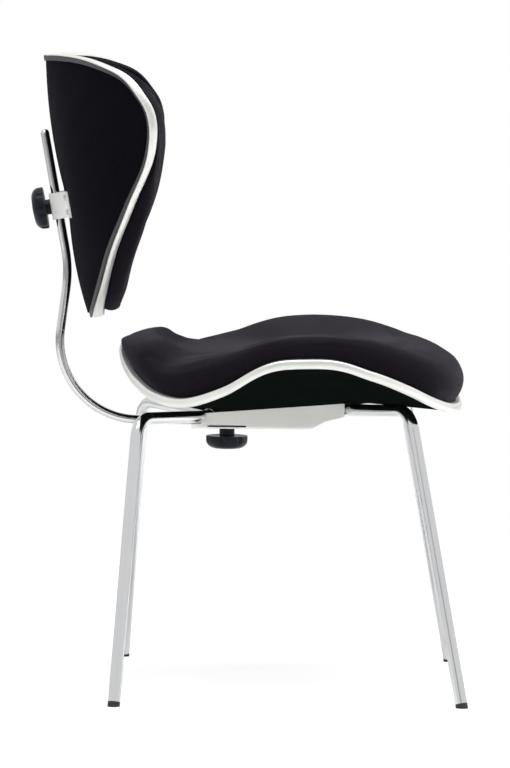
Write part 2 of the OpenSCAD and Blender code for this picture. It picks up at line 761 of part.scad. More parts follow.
module trim(k) {
  loop(k, concat(
    [[band_depth - snug, -band_h / 2]],
    [for (f = [0, 45, 90]) [band_round * (1 - sin(f)), band_round * (1 - cos(f)) - band_h / 2]],
    [for (f = [90, 45, 0]) [band_round * (1 - sin(f)), band_h / 2 - band_round * (1 - cos(f))]],
    [[band_depth - snug, band_h / 2]]
  ));
}
module gasket(k) {
  near = band_depth;
  low = shell_t(k) / 2 + 2 * snug;
  high = band_h / 2 + bead_h;
  loop(k, [
    [near + bead_w, low], [near, low], [near, high - bead_w / 2],
    [near + bead_w / 2, high], [near + bead_w, high - bead_w / 2]
  ]);
}

module seat_shell() {
  color("#15201c") difference() {
    shell(SEAT);
    at_deck_screws() translate([0, 0, -over]) cylinder(d = screw_d + 2 * snug, h = over + screw_l + snug);
  }
}
module back_shell() {
  color(cloth) difference() {
    stood_up() shell(BACK);
    at_sleeve_screws() translate([0, 0, -sleeve_screw_l - snug])
      cylinder(d = screw_d + 2 * snug, h = over + sleeve_screw_l + snug);
  }
}
module seat_trim() { color(satin) trim(SEAT); }
module seat_gasket() { color("dimgray") gasket(SEAT); }
module seat_cushion() { color(cloth) cushion(SEAT); }
module back_trim() { color(satin) stood_up() trim(BACK); }
module back_gasket() { color("dimgray") stood_up() gasket(BACK); }
module back_cushion() { color(cloth) stood_up() cushion(BACK); }
module rear_leg_left() { leg(true); }
module rear_leg_right() { mirror([0, 1, 0]) leg(true); }
module front_leg_left() { leg(false); }
module front_leg_right() { mirror([0, 1, 0]) leg(false); }
module glide_rear_left() { glide(true); }
module glide_rear_right() { mirror([0, 1, 0]) glide(true); }
module glide_front_left() { glide(false); }
module glide_front_right() { mirror([0, 1, 0]) glide(false); }
module seat_clamp_nut() { clamp_nut(SEAT); }
module seat_clamp_pad() { clamp_pad(SEAT); }
module seat_knob() { knob(SEAT); }
module seat_knob_stud() { knob_stud(SEAT); }
module back_clamp_nut() { clamp_nut(BACK); }
module back_clamp_pad() { clamp_pad(BACK); }
module back_knob() { knob(BACK); }
module back_knob_stud() { knob_stud(BACK); }

seat_bracket();
bracket_deck();
bar_guide();
rear_leg_left();
rear_leg_right();
front_leg_left();
front_leg_right();
glide_rear_left();
glide_rear_right();
glide_front_left();
glide_front_right();
deck_screws();
seat_clamp_nut();
seat_shell();
seat_trim();
seat_gasket();
seat_cushion();
seat_clamp_pad();
seat_knob();
seat_knob_stud();
back_bar();
back_sleeve();
sleeve_liner();
back_clamp_nut();
sleeve_screws();
back_shell();
back_trim();
back_gasket();
back_cushion();
back_clamp_pad();
back_knob();
back_knob_stud();
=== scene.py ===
import logging
import math
from abc import ABC, abstractmethod
from collections.abc import Mapping, Sequence
from dataclasses import dataclass, field
from enum import Enum
from typing import TypeAlias

import bpy
import numpy as np
from mathutils import Matrix


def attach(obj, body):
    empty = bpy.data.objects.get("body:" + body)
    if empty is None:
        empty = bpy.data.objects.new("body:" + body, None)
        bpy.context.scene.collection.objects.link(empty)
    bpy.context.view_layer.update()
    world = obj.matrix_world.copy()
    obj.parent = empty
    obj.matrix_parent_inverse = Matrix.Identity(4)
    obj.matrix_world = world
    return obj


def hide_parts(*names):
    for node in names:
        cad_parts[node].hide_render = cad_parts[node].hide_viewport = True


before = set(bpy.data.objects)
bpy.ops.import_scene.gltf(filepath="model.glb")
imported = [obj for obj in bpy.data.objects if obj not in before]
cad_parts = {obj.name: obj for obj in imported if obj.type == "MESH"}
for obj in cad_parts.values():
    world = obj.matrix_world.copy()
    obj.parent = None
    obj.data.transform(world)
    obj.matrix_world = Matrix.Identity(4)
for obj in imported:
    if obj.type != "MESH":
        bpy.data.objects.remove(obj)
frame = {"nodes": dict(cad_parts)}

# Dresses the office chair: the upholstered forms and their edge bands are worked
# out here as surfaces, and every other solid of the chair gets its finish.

Array: TypeAlias = np.ndarray
Colour: TypeAlias = tuple[float, float, float]
Section: TypeAlias = Sequence[tuple[Array | float, Array | float]]

MM = 0.001
MERGE = 1e-6  # points closer than this, in metres, become one
TINY = 1e-9  # keeps a share over 0, and a length that is divided by
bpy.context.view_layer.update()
log = logging.getLogger("chair")


# Mesh maker


class Face(Enum):
    """Which way the faces of a grid are turned."""

    ALONG = 1
    AGAINST = -1


def grid_corners(rows: int, cols: int, turn: Face) -> Array:
    """Corners of the quads of a grid, as row and column pairs.

    Args:
        rows: number of quads along the first parameter.
        cols: number of quads along the second parameter.
        turn: which way round the corners run.

    Returns:
        Array of shape (rows * cols, 4, 2), with indices not yet wrapped.
    """
    i, j = np.meshgrid(np.arange(rows), np.arange(cols), indexing="ij")
    i, j = i.ravel(), j.ravel()
    round_quad = ((i, j), (i + 1, j), (i + 1, j + 1), (i, j + 1))
    corners = np.stack([np.stack(corner, 1) for corner in round_quad], 1)
    return corners if turn is Face.ALONG else corners[:, ::-1]


@dataclass
class Patch:
    """One grid of points that may close on itself in either direction.

    Attributes:
        points: array (rows, columns, 3) in metres.
        close_rows: whether the last row joins the first.
        close_cols: whether the last column joins the first.
        turn: which way the faces look.
        uv: array (rows + 1, columns + 1, 2) in metres along the surface, or None.
        hold: array (rows, columns), how firmly each point is held when the
            piece is filled out as cloth, or None.
    """

    points: Array
    close_rows: bool = False
    close_cols: bool = False
    turn: Face = Face.ALONG
    uv: Array | None = None
    hold: Array | None = None

    def faces(self) -> tuple[Array, Array]:
        """Quads of the patch.

        Returns:
            Vertex indices (n, 4) and matching surface coordinates (n, 4, 2).
        """
        rows, cols = self.points.shape[:2]
        corners = grid_corners(rows - (not self.close_rows), cols - (not self.close_cols), self.turn)
        index = (corners[..., 0] % rows) * cols + corners[..., 1] % cols
        uv = np.zeros(corners.shape) if self.uv is None else self.uv[corners[..., 0], corners[..., 1]]
        return index, uv


def run_lengths(points: Array, axis: int, closed: bool) -> Array:
    """Distance run along one direction of a grid, added up from its start.

    Args:
        points: array (rows, columns, 3).
        axis: 0 along the rows, 1 along the columns.
        closed: adds the step back to the start.

    Returns:
        Array with one entry more than the grid along the axis, from 0 on. The
        last entry repeats where the grid is open.
    """
    step = np.linalg.norm(np.roll(points, -1, axis=axis) - points, axis=2)
    if not closed:
        step[(slice(None),) * axis + (-1,)] = 0
    pad = [(0, 0), (0, 0)]
    pad[axis] = (1, 0)
    return np.pad(np.cumsum(step, axis=axis), pad)


def unrolled(points: Array, close_rows: bool, close_cols: bool) -> Array:
    """Surface coordinates of a patch: mean distance run along each direction.

    Args:
        points: array (rows, columns, 3).
        close_rows: whether the last row joins the first.
        close_cols: whether the last column joins the first.

    Returns:
        Array (rows + 1, columns + 1, 2), in the points' own unit.
    """
    rows, cols = points.shape[:2]
    u = run_lengths(points, 1, close_cols).mean(axis=0)
    v = run_lengths(points, 0, close_rows).mean(axis=1)
    u = np.broadcast_to(u[None, :], (rows + 1, cols + 1))
    v = np.broadcast_to(v[:, None], (rows + 1, cols + 1))
    return np.stack([u, v], 2)


def make_piece(name: str, patches: Sequence[Patch], sharp: float) -> bpy.types.Object:
    """Makes one mesh object from patches, with a map of surface coordinates.

    Points that lie together become one. A quad that loses one corner by that
    becomes a triangle, and one that loses more is left out.

    Args:
        name: the piece's name.
        patches: grids that together make a closed skin.
        sharp: angle in degrees past which an edge stays crisp.

    Returns:
        The object, at the origin, with its place in its mesh.
    """
    points, faces, maps, start = [], [], [], 0
    for patch in patches:
        index, uv = patch.faces()
        points.append(patch.points.reshape(-1, 3))
        faces.append(index + start)
        maps.append(uv)
        start += len(points[-1])
    cloud, quads, uvs = np.concatenate(points), np.concatenate(faces), np.concatenate(maps)
    keys = np.round(cloud / MERGE).astype(np.int64)
    _, first, back = np.unique(keys, axis=0, return_index=True, return_inverse=True)
    quads = back.ravel()[quads]
    ahead = np.roll(quads, -1, axis=1) != quads
    corners = ahead.sum(axis=1)
    polys: list[list[int]] = []
    flat_uv: list[Array] = []
    for count in (4, 3):
        pick = corners == count
        keep = ahead[pick]
        polys.extend(quads[pick][keep].reshape(-1, count).tolist())
        flat_uv.append(uvs[pick][keep].reshape(-1, 2))
    mesh = bpy.data.meshes.new(name)
    mesh.from_pydata(cloud[first].tolist(), [], polys)
    layer = mesh.uv_layers.new(name="surface")
    layer.data.foreach_set("uv", np.concatenate(flat_uv).astype(np.float32).ravel())
    mesh.polygons.foreach_set("use_smooth", np.ones(len(mesh.polygons), dtype=bool))
    mesh.validate()
    mesh.update()
    mesh.set_sharp_from_angle(angle=math.radians(sharp))
    if all(patch.hold is not None for patch in patches):
        hold = mesh.attributes.new("hold", "FLOAT", "POINT")
        firm = np.concatenate([patch.hold.ravel() for patch in patches])[first]
        hold.data.foreach_set("value", firm.astype(np.float32))
    piece = bpy.data.objects.new(name, mesh)
    bpy.context.scene.collection.objects.link(piece)
    return piece


def vertex_places(mesh: bpy.types.Mesh) -> Array:
    """Reads a mesh's points.

    Args:
        mesh: the mesh.

    Returns:
        Array (points, 3), in metres.
    """
    flat = np.empty(len(mesh.vertices) * 3, dtype=np.float32)
    mesh.vertices.foreach_get("co", flat)
    return flat.reshape(-1, 3)


# Shader maker


Value: TypeAlias = "float | tuple | Wire"
WHITE = (1.0, 1.0, 1.0, 1.0)


class Wire:
    """A shader output that takes Python arithmetic."""

    def __init__(self, paint: "Paint", socket: bpy.types.NodeSocket) -> None:
        """Wraps one output socket of a node tree."""
        self.paint = paint
        self.socket = socket

    def _math(self, operation: str, *values: Value) -> "Wire":
        """One Math node on these values."""
        return self.paint.node("ShaderNodeMath", {"operation": operation}, dict(enumerate(values)))

    def __add__(self, other: Value) -> "Wire":
        """Sum."""
        return self._math("ADD", self, other)

    __radd__ = __add__

    def __mul__(self, other: Value) -> "Wire":
        """Product."""
        return self._math("MULTIPLY", self, other)

    __rmul__ = __mul__

    def sine(self) -> "Wire":
        """Sine of the value in radians."""
        return self._math("SINE", self)

    def step(self, low: float, high: float) -> "Wire":
        """Smooth step from 0 at low to 1 at high."""
        limits = {"Value": self, "From Min": low, "From Max": high}
        return self.paint.node("ShaderNodeMapRange", {"interpolation_type": "SMOOTHSTEP"}, limits)

    def ranged(self, low: float, high: float) -> "Wire":
        """The value, 0 to 1, set between two limits."""
        return self.paint.node("ShaderNodeMapRange", {}, {"Value": self, "To Min": low, "To Max": high})


class Paint:
    """The node tree of one finish, or of the world."""

    def __init__(self, block: bpy.types.Material | bpy.types.World) -> None:
        """Empties the node tree of a material or a world.

        Args:
            block: the new material or world.
        """
        block.use_nodes = True
        self.block = block
        self.tree = block.node_tree
        self.tree.nodes.clear()

    def node(
        self, kind: str, settings: Mapping[str, object], inputs: Mapping[str | int, Value], out: str | int = 0
    ) -> Wire:
        """Adds a node.

        Args:
            kind: Blender's type of node.
            settings: values set on the node itself, before its sockets.
            inputs: value or wire for each socket, by name or number.
            out: name or number of the output to return.

        Returns:
            The chosen output as a wire.
        """
        made = self.tree.nodes.new(kind)
        for key, value in settings.items():
            setattr(made, key, value)
        for key, value in inputs.items():
            socket = made.inputs[key]
            if isinstance(value, Wire):
                self.tree.links.new(value.socket, socket)
            else:
                socket.default_value = value
        return Wire(self, made.outputs[out])

    def place(self) -> Wire:
        """Object coordinates, in metres."""
        return self.node("ShaderNodeTexCoord", {}, {}, "Object")

    def surface(self) -> Wire:
        """The piece's own surface coordinates, in metres."""
        return self.node("ShaderNodeUVMap", {"uv_map": "surface"}, {}, "UV")

    def stretched(self, vector: Wire, scale: tuple[float, float, float]) -> Wire:
        """The coordinates scaled."""
        return self.node("ShaderNodeMapping", {}, {"Vector": vector, "Scale": scale})

    def part(self, vector: Wire, axis: str) -> Wire:
        """One component of a vector."""
        return self.node("ShaderNodeSeparateXYZ", {}, {0: vector}, axis)

    def noise(self, vector: Wire, scale: float, detail: float = 3.0, rough: float = 0.5) -> Wire:
        """Noise from 0 to 1."""
        inputs = {"Vector": vector, "Scale": scale, "Detail": detail, "Roughness": rough}
        return self.node("ShaderNodeTexNoise", {}, inputs)

    def mix(self, share: Value, low: Colour, high: Colour) -> Wire:
        """A colour between two, by a share from 0 to 1."""
        inputs = {"Factor": share, "A": (*low, 1.0), "B": (*high, 1.0)}
        return self.node("ShaderNodeMix", {"data_type": "RGBA"}, inputs, 2)

    def bump(self, height: Wire, strength: float, distance: float) -> Wire:
        """A normal from a height."""
        return self.node("ShaderNodeBump", {}, {"Strength": strength, "Distance": distance, "Height": height})

    def seen(self, kind: str, shader: Wire, other: Wire) -> Wire:
        """One shader where a kind of ray meets it, and another for all other rays."""
        return self.node("ShaderNodeMixShader", {}, {0: self.ray(kind), 1: other, 2: shader})

    def ray(self, kind: str) -> Wire:
        """1 for a kind of ray, 0 for the others."""
        return self.node("ShaderNodeLightPath", {}, {}, kind)

    def finish(self, shader: Wire) -> None:
        """Joins a shader to the output of the material or the world."""
        kind = "World" if isinstance(self.block, bpy.types.World) else "Material"
        self.tree.links.new(shader.socket, self.tree.nodes.new("ShaderNodeOutput" + kind).inputs[0])


# Finishes. Scales of noise are in cells per metre.


def shaded(colour: Colour, share: float, lift: float = 0.0) -> Colour:
    """A colour times a share, plus a lift."""
    return tuple(share * c + lift for c in colour)


@dataclass(frozen=True)
class Finish(ABC):
    """What a surface looks like, made as one material.

    Attributes:
        name: the material's name.
    """

    name: str

    def make(self) -> bpy.types.Material:
        """Makes the finish.

        Returns:
            The material.
        """
        material = bpy.data.materials.new(self.name)
        paint = Paint(material)
        paint.finish(paint.node("ShaderNodeBsdfPrincipled", {}, self.sockets(paint)))
        return material

    @abstractmethod
    def sockets(self, paint: Paint) -> Mapping[str, Value]:
        """Value or wire for each socket of the principled shader."""


@dataclass(frozen=True)
class WovenCloth(Finish):
    """Fine black upholstery cloth: crossing threads, thinned and thickened by noise.

    Attributes:
        dark: colour in the valleys between threads.
        light: colour on the threads' crowns.
        sheen: how much light the fibres catch where they are seen sideways.
        pitch: distance between threads, in metres.
        relief: height of the weave, in metres.
        drift_scale: scale of the noise that the threads wander by.
        fibre_scale: scale of the fibres.
        fleck_scale: scale of the lighter flecks.
        wear_scale: scale of the worn patches.
    """

    dark: Colour = (0.003, 0.0022, 0.0038)
    light: Colour = (0.014, 0.011, 0.0165)
    sheen: float = 0.16
    pitch: float = 0.0016
    relief: float = 0.0005
    drift_scale: float = 90.0
    fibre_scale: float = 2600.0
    fleck_scale: float = 380.0
    wear_scale: float = 14.0

    def sockets(self, paint: Paint) -> Mapping[str, Value]:
        """The weave is the product of two sines, one for each way of the threads.

        Args:
            paint: node tree that the wires belong to.

        Returns:
            Value or wire for each socket of the principled shader.
        """
        cloth = paint.surface()
        drift = paint.noise(cloth, self.drift_scale, detail=2.0) * 2.0
        turns = 2 * math.pi / self.pitch
        across, along = ((paint.part(cloth, axis) * turns + drift).sine() for axis in "XY")
        weave = (across * along) * 0.5 + 0.5
        fibre = paint.noise(cloth, self.fibre_scale, detail=2.0, rough=0.7)
        wear = paint.noise(cloth, self.wear_scale)
        fleck = paint.noise(cloth, self.fleck_scale, detail=2.0, rough=0.8)
        tone = weave * 0.3 + fibre * 0.2 + fleck * 0.3 + wear * 0.2
        return {
            "Base Color": paint.mix(tone.step(0.32, 0.68), self.dark, self.light),
            "Roughness": wear.ranged(0.78, 0.92),
            "Specular IOR Level": 0.04,
            "Sheen Weight": self.sheen,
            "Sheen Roughness": 0.38,
            "Sheen Tint": (0.62, 0.58, 0.68, 1.0),
            "Normal": paint.bump(weave * 0.6 + fibre * 0.4, 0.7, self.relief),
        }


@dataclass(frozen=True)
class BrushedBand(Finish):
    """Satin drawn aluminium, with fine lines along the band.

    Attributes:
        colour: colour of the metal.
        metallic: how much of it mirrors as bare metal.
        rough: middle of its roughness.
        relief: height of the lines, in metres.
        line_scale: scale of the lines along, across and through the band.
        spot_scale: scale of the spots.
    """

    colour: Colour = (0.93, 0.935, 0.90)
    metallic: float = 0.62
    rough: float = 0.34
    relief: float = 0.0002
    line_scale: tuple[float, float, float] = (6.0, 900.0, 1.0)
    spot_scale: float = 60.0

    def sockets(self, paint: Paint) -> Mapping[str, Value]:
        """Noise drawn out along the band varies colour, gloss and relief.

        Args:
            paint: node tree that the wires belong to.

        Returns:
            Value or wire for each socket of the principled shader.
        """
        along = paint.stretched(paint.surface(), self.line_scale)
        lines = paint.noise(along, 1.0, detail=4.0, rough=0.65)
        spots = paint.noise(paint.place(), self.spot_scale)
        return {
            "Base Color": paint.mix(lines * 0.6 + spots * 0.4, shaded(self.colour, 0.8), self.colour),
            "Metallic": self.metallic,
            "Roughness": (lines * 0.7 + spots * 0.3).ranged(self.rough - 0.07, self.rough + 0.1),
            "Normal": paint.bump(lines, 0.12, self.relief),
        }


@dataclass(frozen=True)
class Plated(Finish):
    """Bright plating, with faint polishing lines and clouding.

    Attributes:
        colour: colour of the plating.
        rough: middle of its roughness.
        relief: height of the lines, in metres.
        line_scale: scale of the lines, drawn out in height.
        cloud_scale: scale of the clouds.
    """

    colour: Colour = (0.80, 0.81, 0.82)
    rough: float = 0.13
    relief: float = 0.0001
    line_scale: tuple[float, float, float] = (700.0, 700.0, 9.0)
    cloud_scale: float = 18.0

    def sockets(self, paint: Paint) -> Mapping[str, Value]:
        """Fine noise drawn out in height for the polishing, and soft clouds.

        Args:
            paint: node tree that the wires belong to.

        Returns:
            Value or wire for each socket of the principled shader.
        """
        place = paint.place()
        lines = paint.noise(paint.stretched(place, self.line_scale), 1.0, rough=0.6)
        cloud = paint.noise(place, self.cloud_scale)
        return {
            "Base Color": paint.mix(cloud * 0.7 + lines * 0.3, shaded(self.colour, 0.86), self.colour),
            "Metallic": 1.0,
            "Roughness": (lines * 0.5 + cloud * 0.5).ranged(self.rough - 0.05, self.rough + 0.07),
            "Normal": paint.bump(lines, 0.05, self.relief),
        }


@dataclass(frozen=True)
class SatinSheet(Finish):
    """Pressed sheet steel with a grained satin coat.

    Attributes:
        colour: colour of the coat.
        metallic: how much of it mirrors as bare metal.
        rough: middle of its roughness.
        relief: height of the grain, in metres.
        grain_scale: scale of the grain.
        cloud_scale: scale of the clouds.
    """

    colour: Colour = (0.95, 0.96, 0.91)
    metallic: float = 0.3
    rough: float = 0.36
    relief: float = 0.0002
    grain_scale: float = 1500.0
    cloud_scale: float = 26.0

    def sockets(self, paint: Paint) -> Mapping[str, Value]:
        """Fine grain with larger soft clouds.

        Args:
            paint: node tree that the wires belong to.

        Returns:
            Value or wire for each socket of the principled shader.
        """
        place = paint.place()
        grain = paint.noise(place, self.grain_scale, detail=2.0, rough=0.6)
        cloud = paint.noise(place, self.cloud_scale, detail=4.0)
        return {
            "Base Color": paint.mix(grain * 0.35 + cloud * 0.65, shaded(self.colour, 0.86), self.colour),
            "Metallic": self.metallic,
            "Roughness": (grain * 0.5 + cloud * 0.5).ranged(self.rough - 0.08, self.rough + 0.08),
            "Normal": paint.bump(grain, 0.12, self.relief),
        }


@dataclass(frozen=True)
class Moulded(Finish):
    """Moulded plastic or rubber with a fine spark grain.

    Attributes:
        colour: darkest colour of the moulding.
        rough: middle of its roughness.
        gloss: strength of its reflection.
        relief: height of the grain, in metres.
        grain_scale: scale of the grain.
        wear_scale: scale of the worn patches.
    """

    colour: Colour = (0.012, 0.014, 0.019)
    rough: float = 0.4
    gloss: float = 0.5
    relief: float = 0.00015
    grain_scale: float = 900.0
    wear_scale: float = 45.0

    def sockets(self, paint: Paint) -> Mapping[str, Value]:
        """Cell noise for the mould's grain, with handling wear in the gloss.

        Args:
            paint: node tree that the wires belong to.

        Returns:
            Value or wire for each socket of the principled shader.
        """
        place = paint.place()
        grain = {"Vector": place, "Scale": self.grain_scale}
        cells = paint.node("ShaderNodeTexVoronoi", {"feature": "SMOOTH_F1"}, grain)
        wear = paint.noise(place, self.wear_scale, detail=4.0)
        light = shaded(self.colour, 1.7, 0.003)
        return {
            "Base Color": paint.mix(wear * 0.6 + cells * 0.4, self.colour, light),
            "Roughness": wear.ranged(self.rough - 0.06, self.rough + 0.12),
            "Specular IOR Level": self.gloss,
            "Normal": paint.bump(cells, 0.35, self.relief),
        }


@dataclass(frozen=True)
class TurnedMetal(Finish):
    """Small turned or plated hardware: screws, nuts, studs and pads.

    Attributes:
        colour: colour of the clean metal.
        rough: least roughness.
        relief: height of the tool lines, in metres.
        line_scale: scale of the tool lines.
        speck_scale: scale of the specks.
    """

    colour: Colour = (0.58, 0.59, 0.60)
    rough: float = 0.3
    relief: float = 0.0001
    line_scale: float = 1100.0
    speck_scale: float = 240.0

    def sockets(self, paint: Paint) -> Mapping[str, Value]:
        """Tool lines as noise, with darker specks where oil stays.

        Args:
            paint: node tree that the wires belong to.

        Returns:
            Value or wire for each socket of the principled shader.
        """
        place = paint.place()
        lines = paint.noise(place, self.line_scale, detail=2.0)
        specks = paint.noise(place, self.speck_scale, detail=4.0).step(0.55, 0.8)
        return {
            "Base Color": paint.mix(specks * 0.7 + lines * 0.2, self.colour, shaded(self.colour, 0.55)),
            "Metallic": 1.0,
            "Roughness": (lines * 0.6 + specks * 0.4).ranged(self.rough, self.rough + 0.2),
            "Normal": paint.bump(lines, 0.2, self.relief),
        }


# The forms


@dataclass(frozen=True)
class Plan:
    """Outline of an upholstered form, seen square on, in millimetres.

    Attributes:
        ahead: reach from the widest line to the front or the top.
        behind: reach from the widest line to the rear or the bottom.
        half: half of the width.
        wide: place of the widest line.
        ahead_power: how square the front or the top is.
        behind_power: how square the rear or the bottom is.
    """

    ahead: float
    behind: float
    half: float
    wide: float
    ahead_power: float
    behind_power: float

    def edge(self, turn: Array, inset: Array | float = 0.0) -> tuple[Array, Array]:
        """Points of the outline, drawn in from its edge.

        A superellipse: along = wide + (reach - inset) * cos^(2/power), and
        across = (half - inset) * sin^(2/power), each with its sign kept.

        Args:
            turn: parameter angle in degrees, 0 at the front or the top.
            inset: distance in from the edge.

        Returns:
            Places along the form and across it.
        """
        c, s = np.cos(np.radians(turn)), np.sin(np.radians(turn))
        front = c >= 0
        power = np.where(front, self.ahead_power, self.behind_power)
        reach = np.where(front, self.ahead, self.behind)
        along = self.wide + (reach - inset) * np.sign(c) * np.abs(c) ** (2 / power)
        across = (self.half - inset) * np.sign(s) * np.abs(s) ** (2 / power)
        return along, across


def folded(turn: Array) -> Array:
    """Angles of both sides of a form as 0, at the front or the top, to 180."""
    around = np.mod(turn, 360.0)
    return np.where(around > 180, 360 - around, around)


def smooth_share(keys: Sequence[float], turn: Array) -> Array:
    """Smooth curve through shares that are set every 15 degrees.

    A cubic through four neighbouring keys, mirrored past both ends, so that
    the two sides of the form are alike.

    Args:
        keys: thirteen shares from 0 to 180 degrees.
        turn: angles in degrees.

    Returns:
        The share at each angle.
    """
    k = np.array([keys[1], *keys, keys[-2]])
    u = folded(turn) / 180 * (len(keys) - 1)
    i = np.minimum(np.floor(u), len(keys) - 2).astype(int)
    f = u - i
    p0, p1, p2, p3 = k[i], k[i + 1], k[i + 2], k[i + 3]
    return (
        p1 + (p2 - p0) * f / 2 + (p0 - 2.5 * p1 + 2 * p2 - p3 / 2) * f**2
        + (1.5 * p1 - p0 / 2 - 1.5 * p2 + p3 / 2) * f**3
    )


def eased(share: Array) -> Array:
    """A smooth step from 0 to 1."""
    t = np.clip(share, 0, 1)
    return t * t * (3 - 2 * t)


def arc(end: float, count: int) -> Array:
    """Even angles from 0 to an end in degrees, given in radians."""
    return np.radians(np.linspace(0, end, count))


@dataclass(frozen=True)
class Swell:
    """An amount that grows smoothly from nothing over a range of angles.

    Attributes:
        most: the amount past that range.
        start: angle at which it starts.
        span: angle over which it grows, negative where it grows backwards.
    """

    most: float
    start: float
    span: float

    def at(self, turn: Array) -> Array:
        """The amount at each angle: most times a smooth step."""
        return self.most * eased((turn - self.start) / self.span)


def disc_grid(count: int) -> tuple[Array, Array]:
    """A square grid bent into a disc, so that no point has crowded neighbours.

    Each point (s, t) of the square goes to s * sqrt(1 - t^2 / 2) and
    t * sqrt(1 - s^2 / 2). The lines of the square lie at the sine of even
    angles up to 90 degrees times the crowding, so they are closer at its edge.

    Args:
        count: points along a side.

    Returns:
        Angle in degrees, -180 to 180, and distance from the middle, 0 to 1,
        for each point.
    """
    crowding = 0.86
    line = np.sin(np.linspace(-90, 90, count) * math.pi / 180 * crowding)
    line = line / math.sin(math.radians(90 * crowding))
    s, t = np.meshgrid(line, line, indexing="ij")
    x, y = s * np.sqrt(1 - t**2 / 2), t * np.sqrt(1 - s**2 / 2)
    return np.degrees(np.arctan2(y, x)), np.minimum(np.hypot(x, y), 1.0)


@dataclass(frozen=True)
class Simulation:
    """How a cushion's cover is filled out as cloth.

    Attributes:
        pressure: push from inside.
        frames: steps run.
        quality: smaller steps in each step.
        tension: resistance to stretching.
        bending: resistance to folding.
        cap: farthest that a point may move, in metres.
        shrink: how much lower the cover's face starts, in metres.
        held_from: distance from the middle, 0 to 1, past which it is held.
        fade: distance inside that over which the hold lets go.
    """

    pressure: float = 4.0
    frames: int = 20
    quality: int = 4
    tension: float = 12.0
    bending: float = 2.0
    cap: float = 0.003
    shrink: float = 0.0015
    held_from: float = 0.97
    fade: float = 0.12


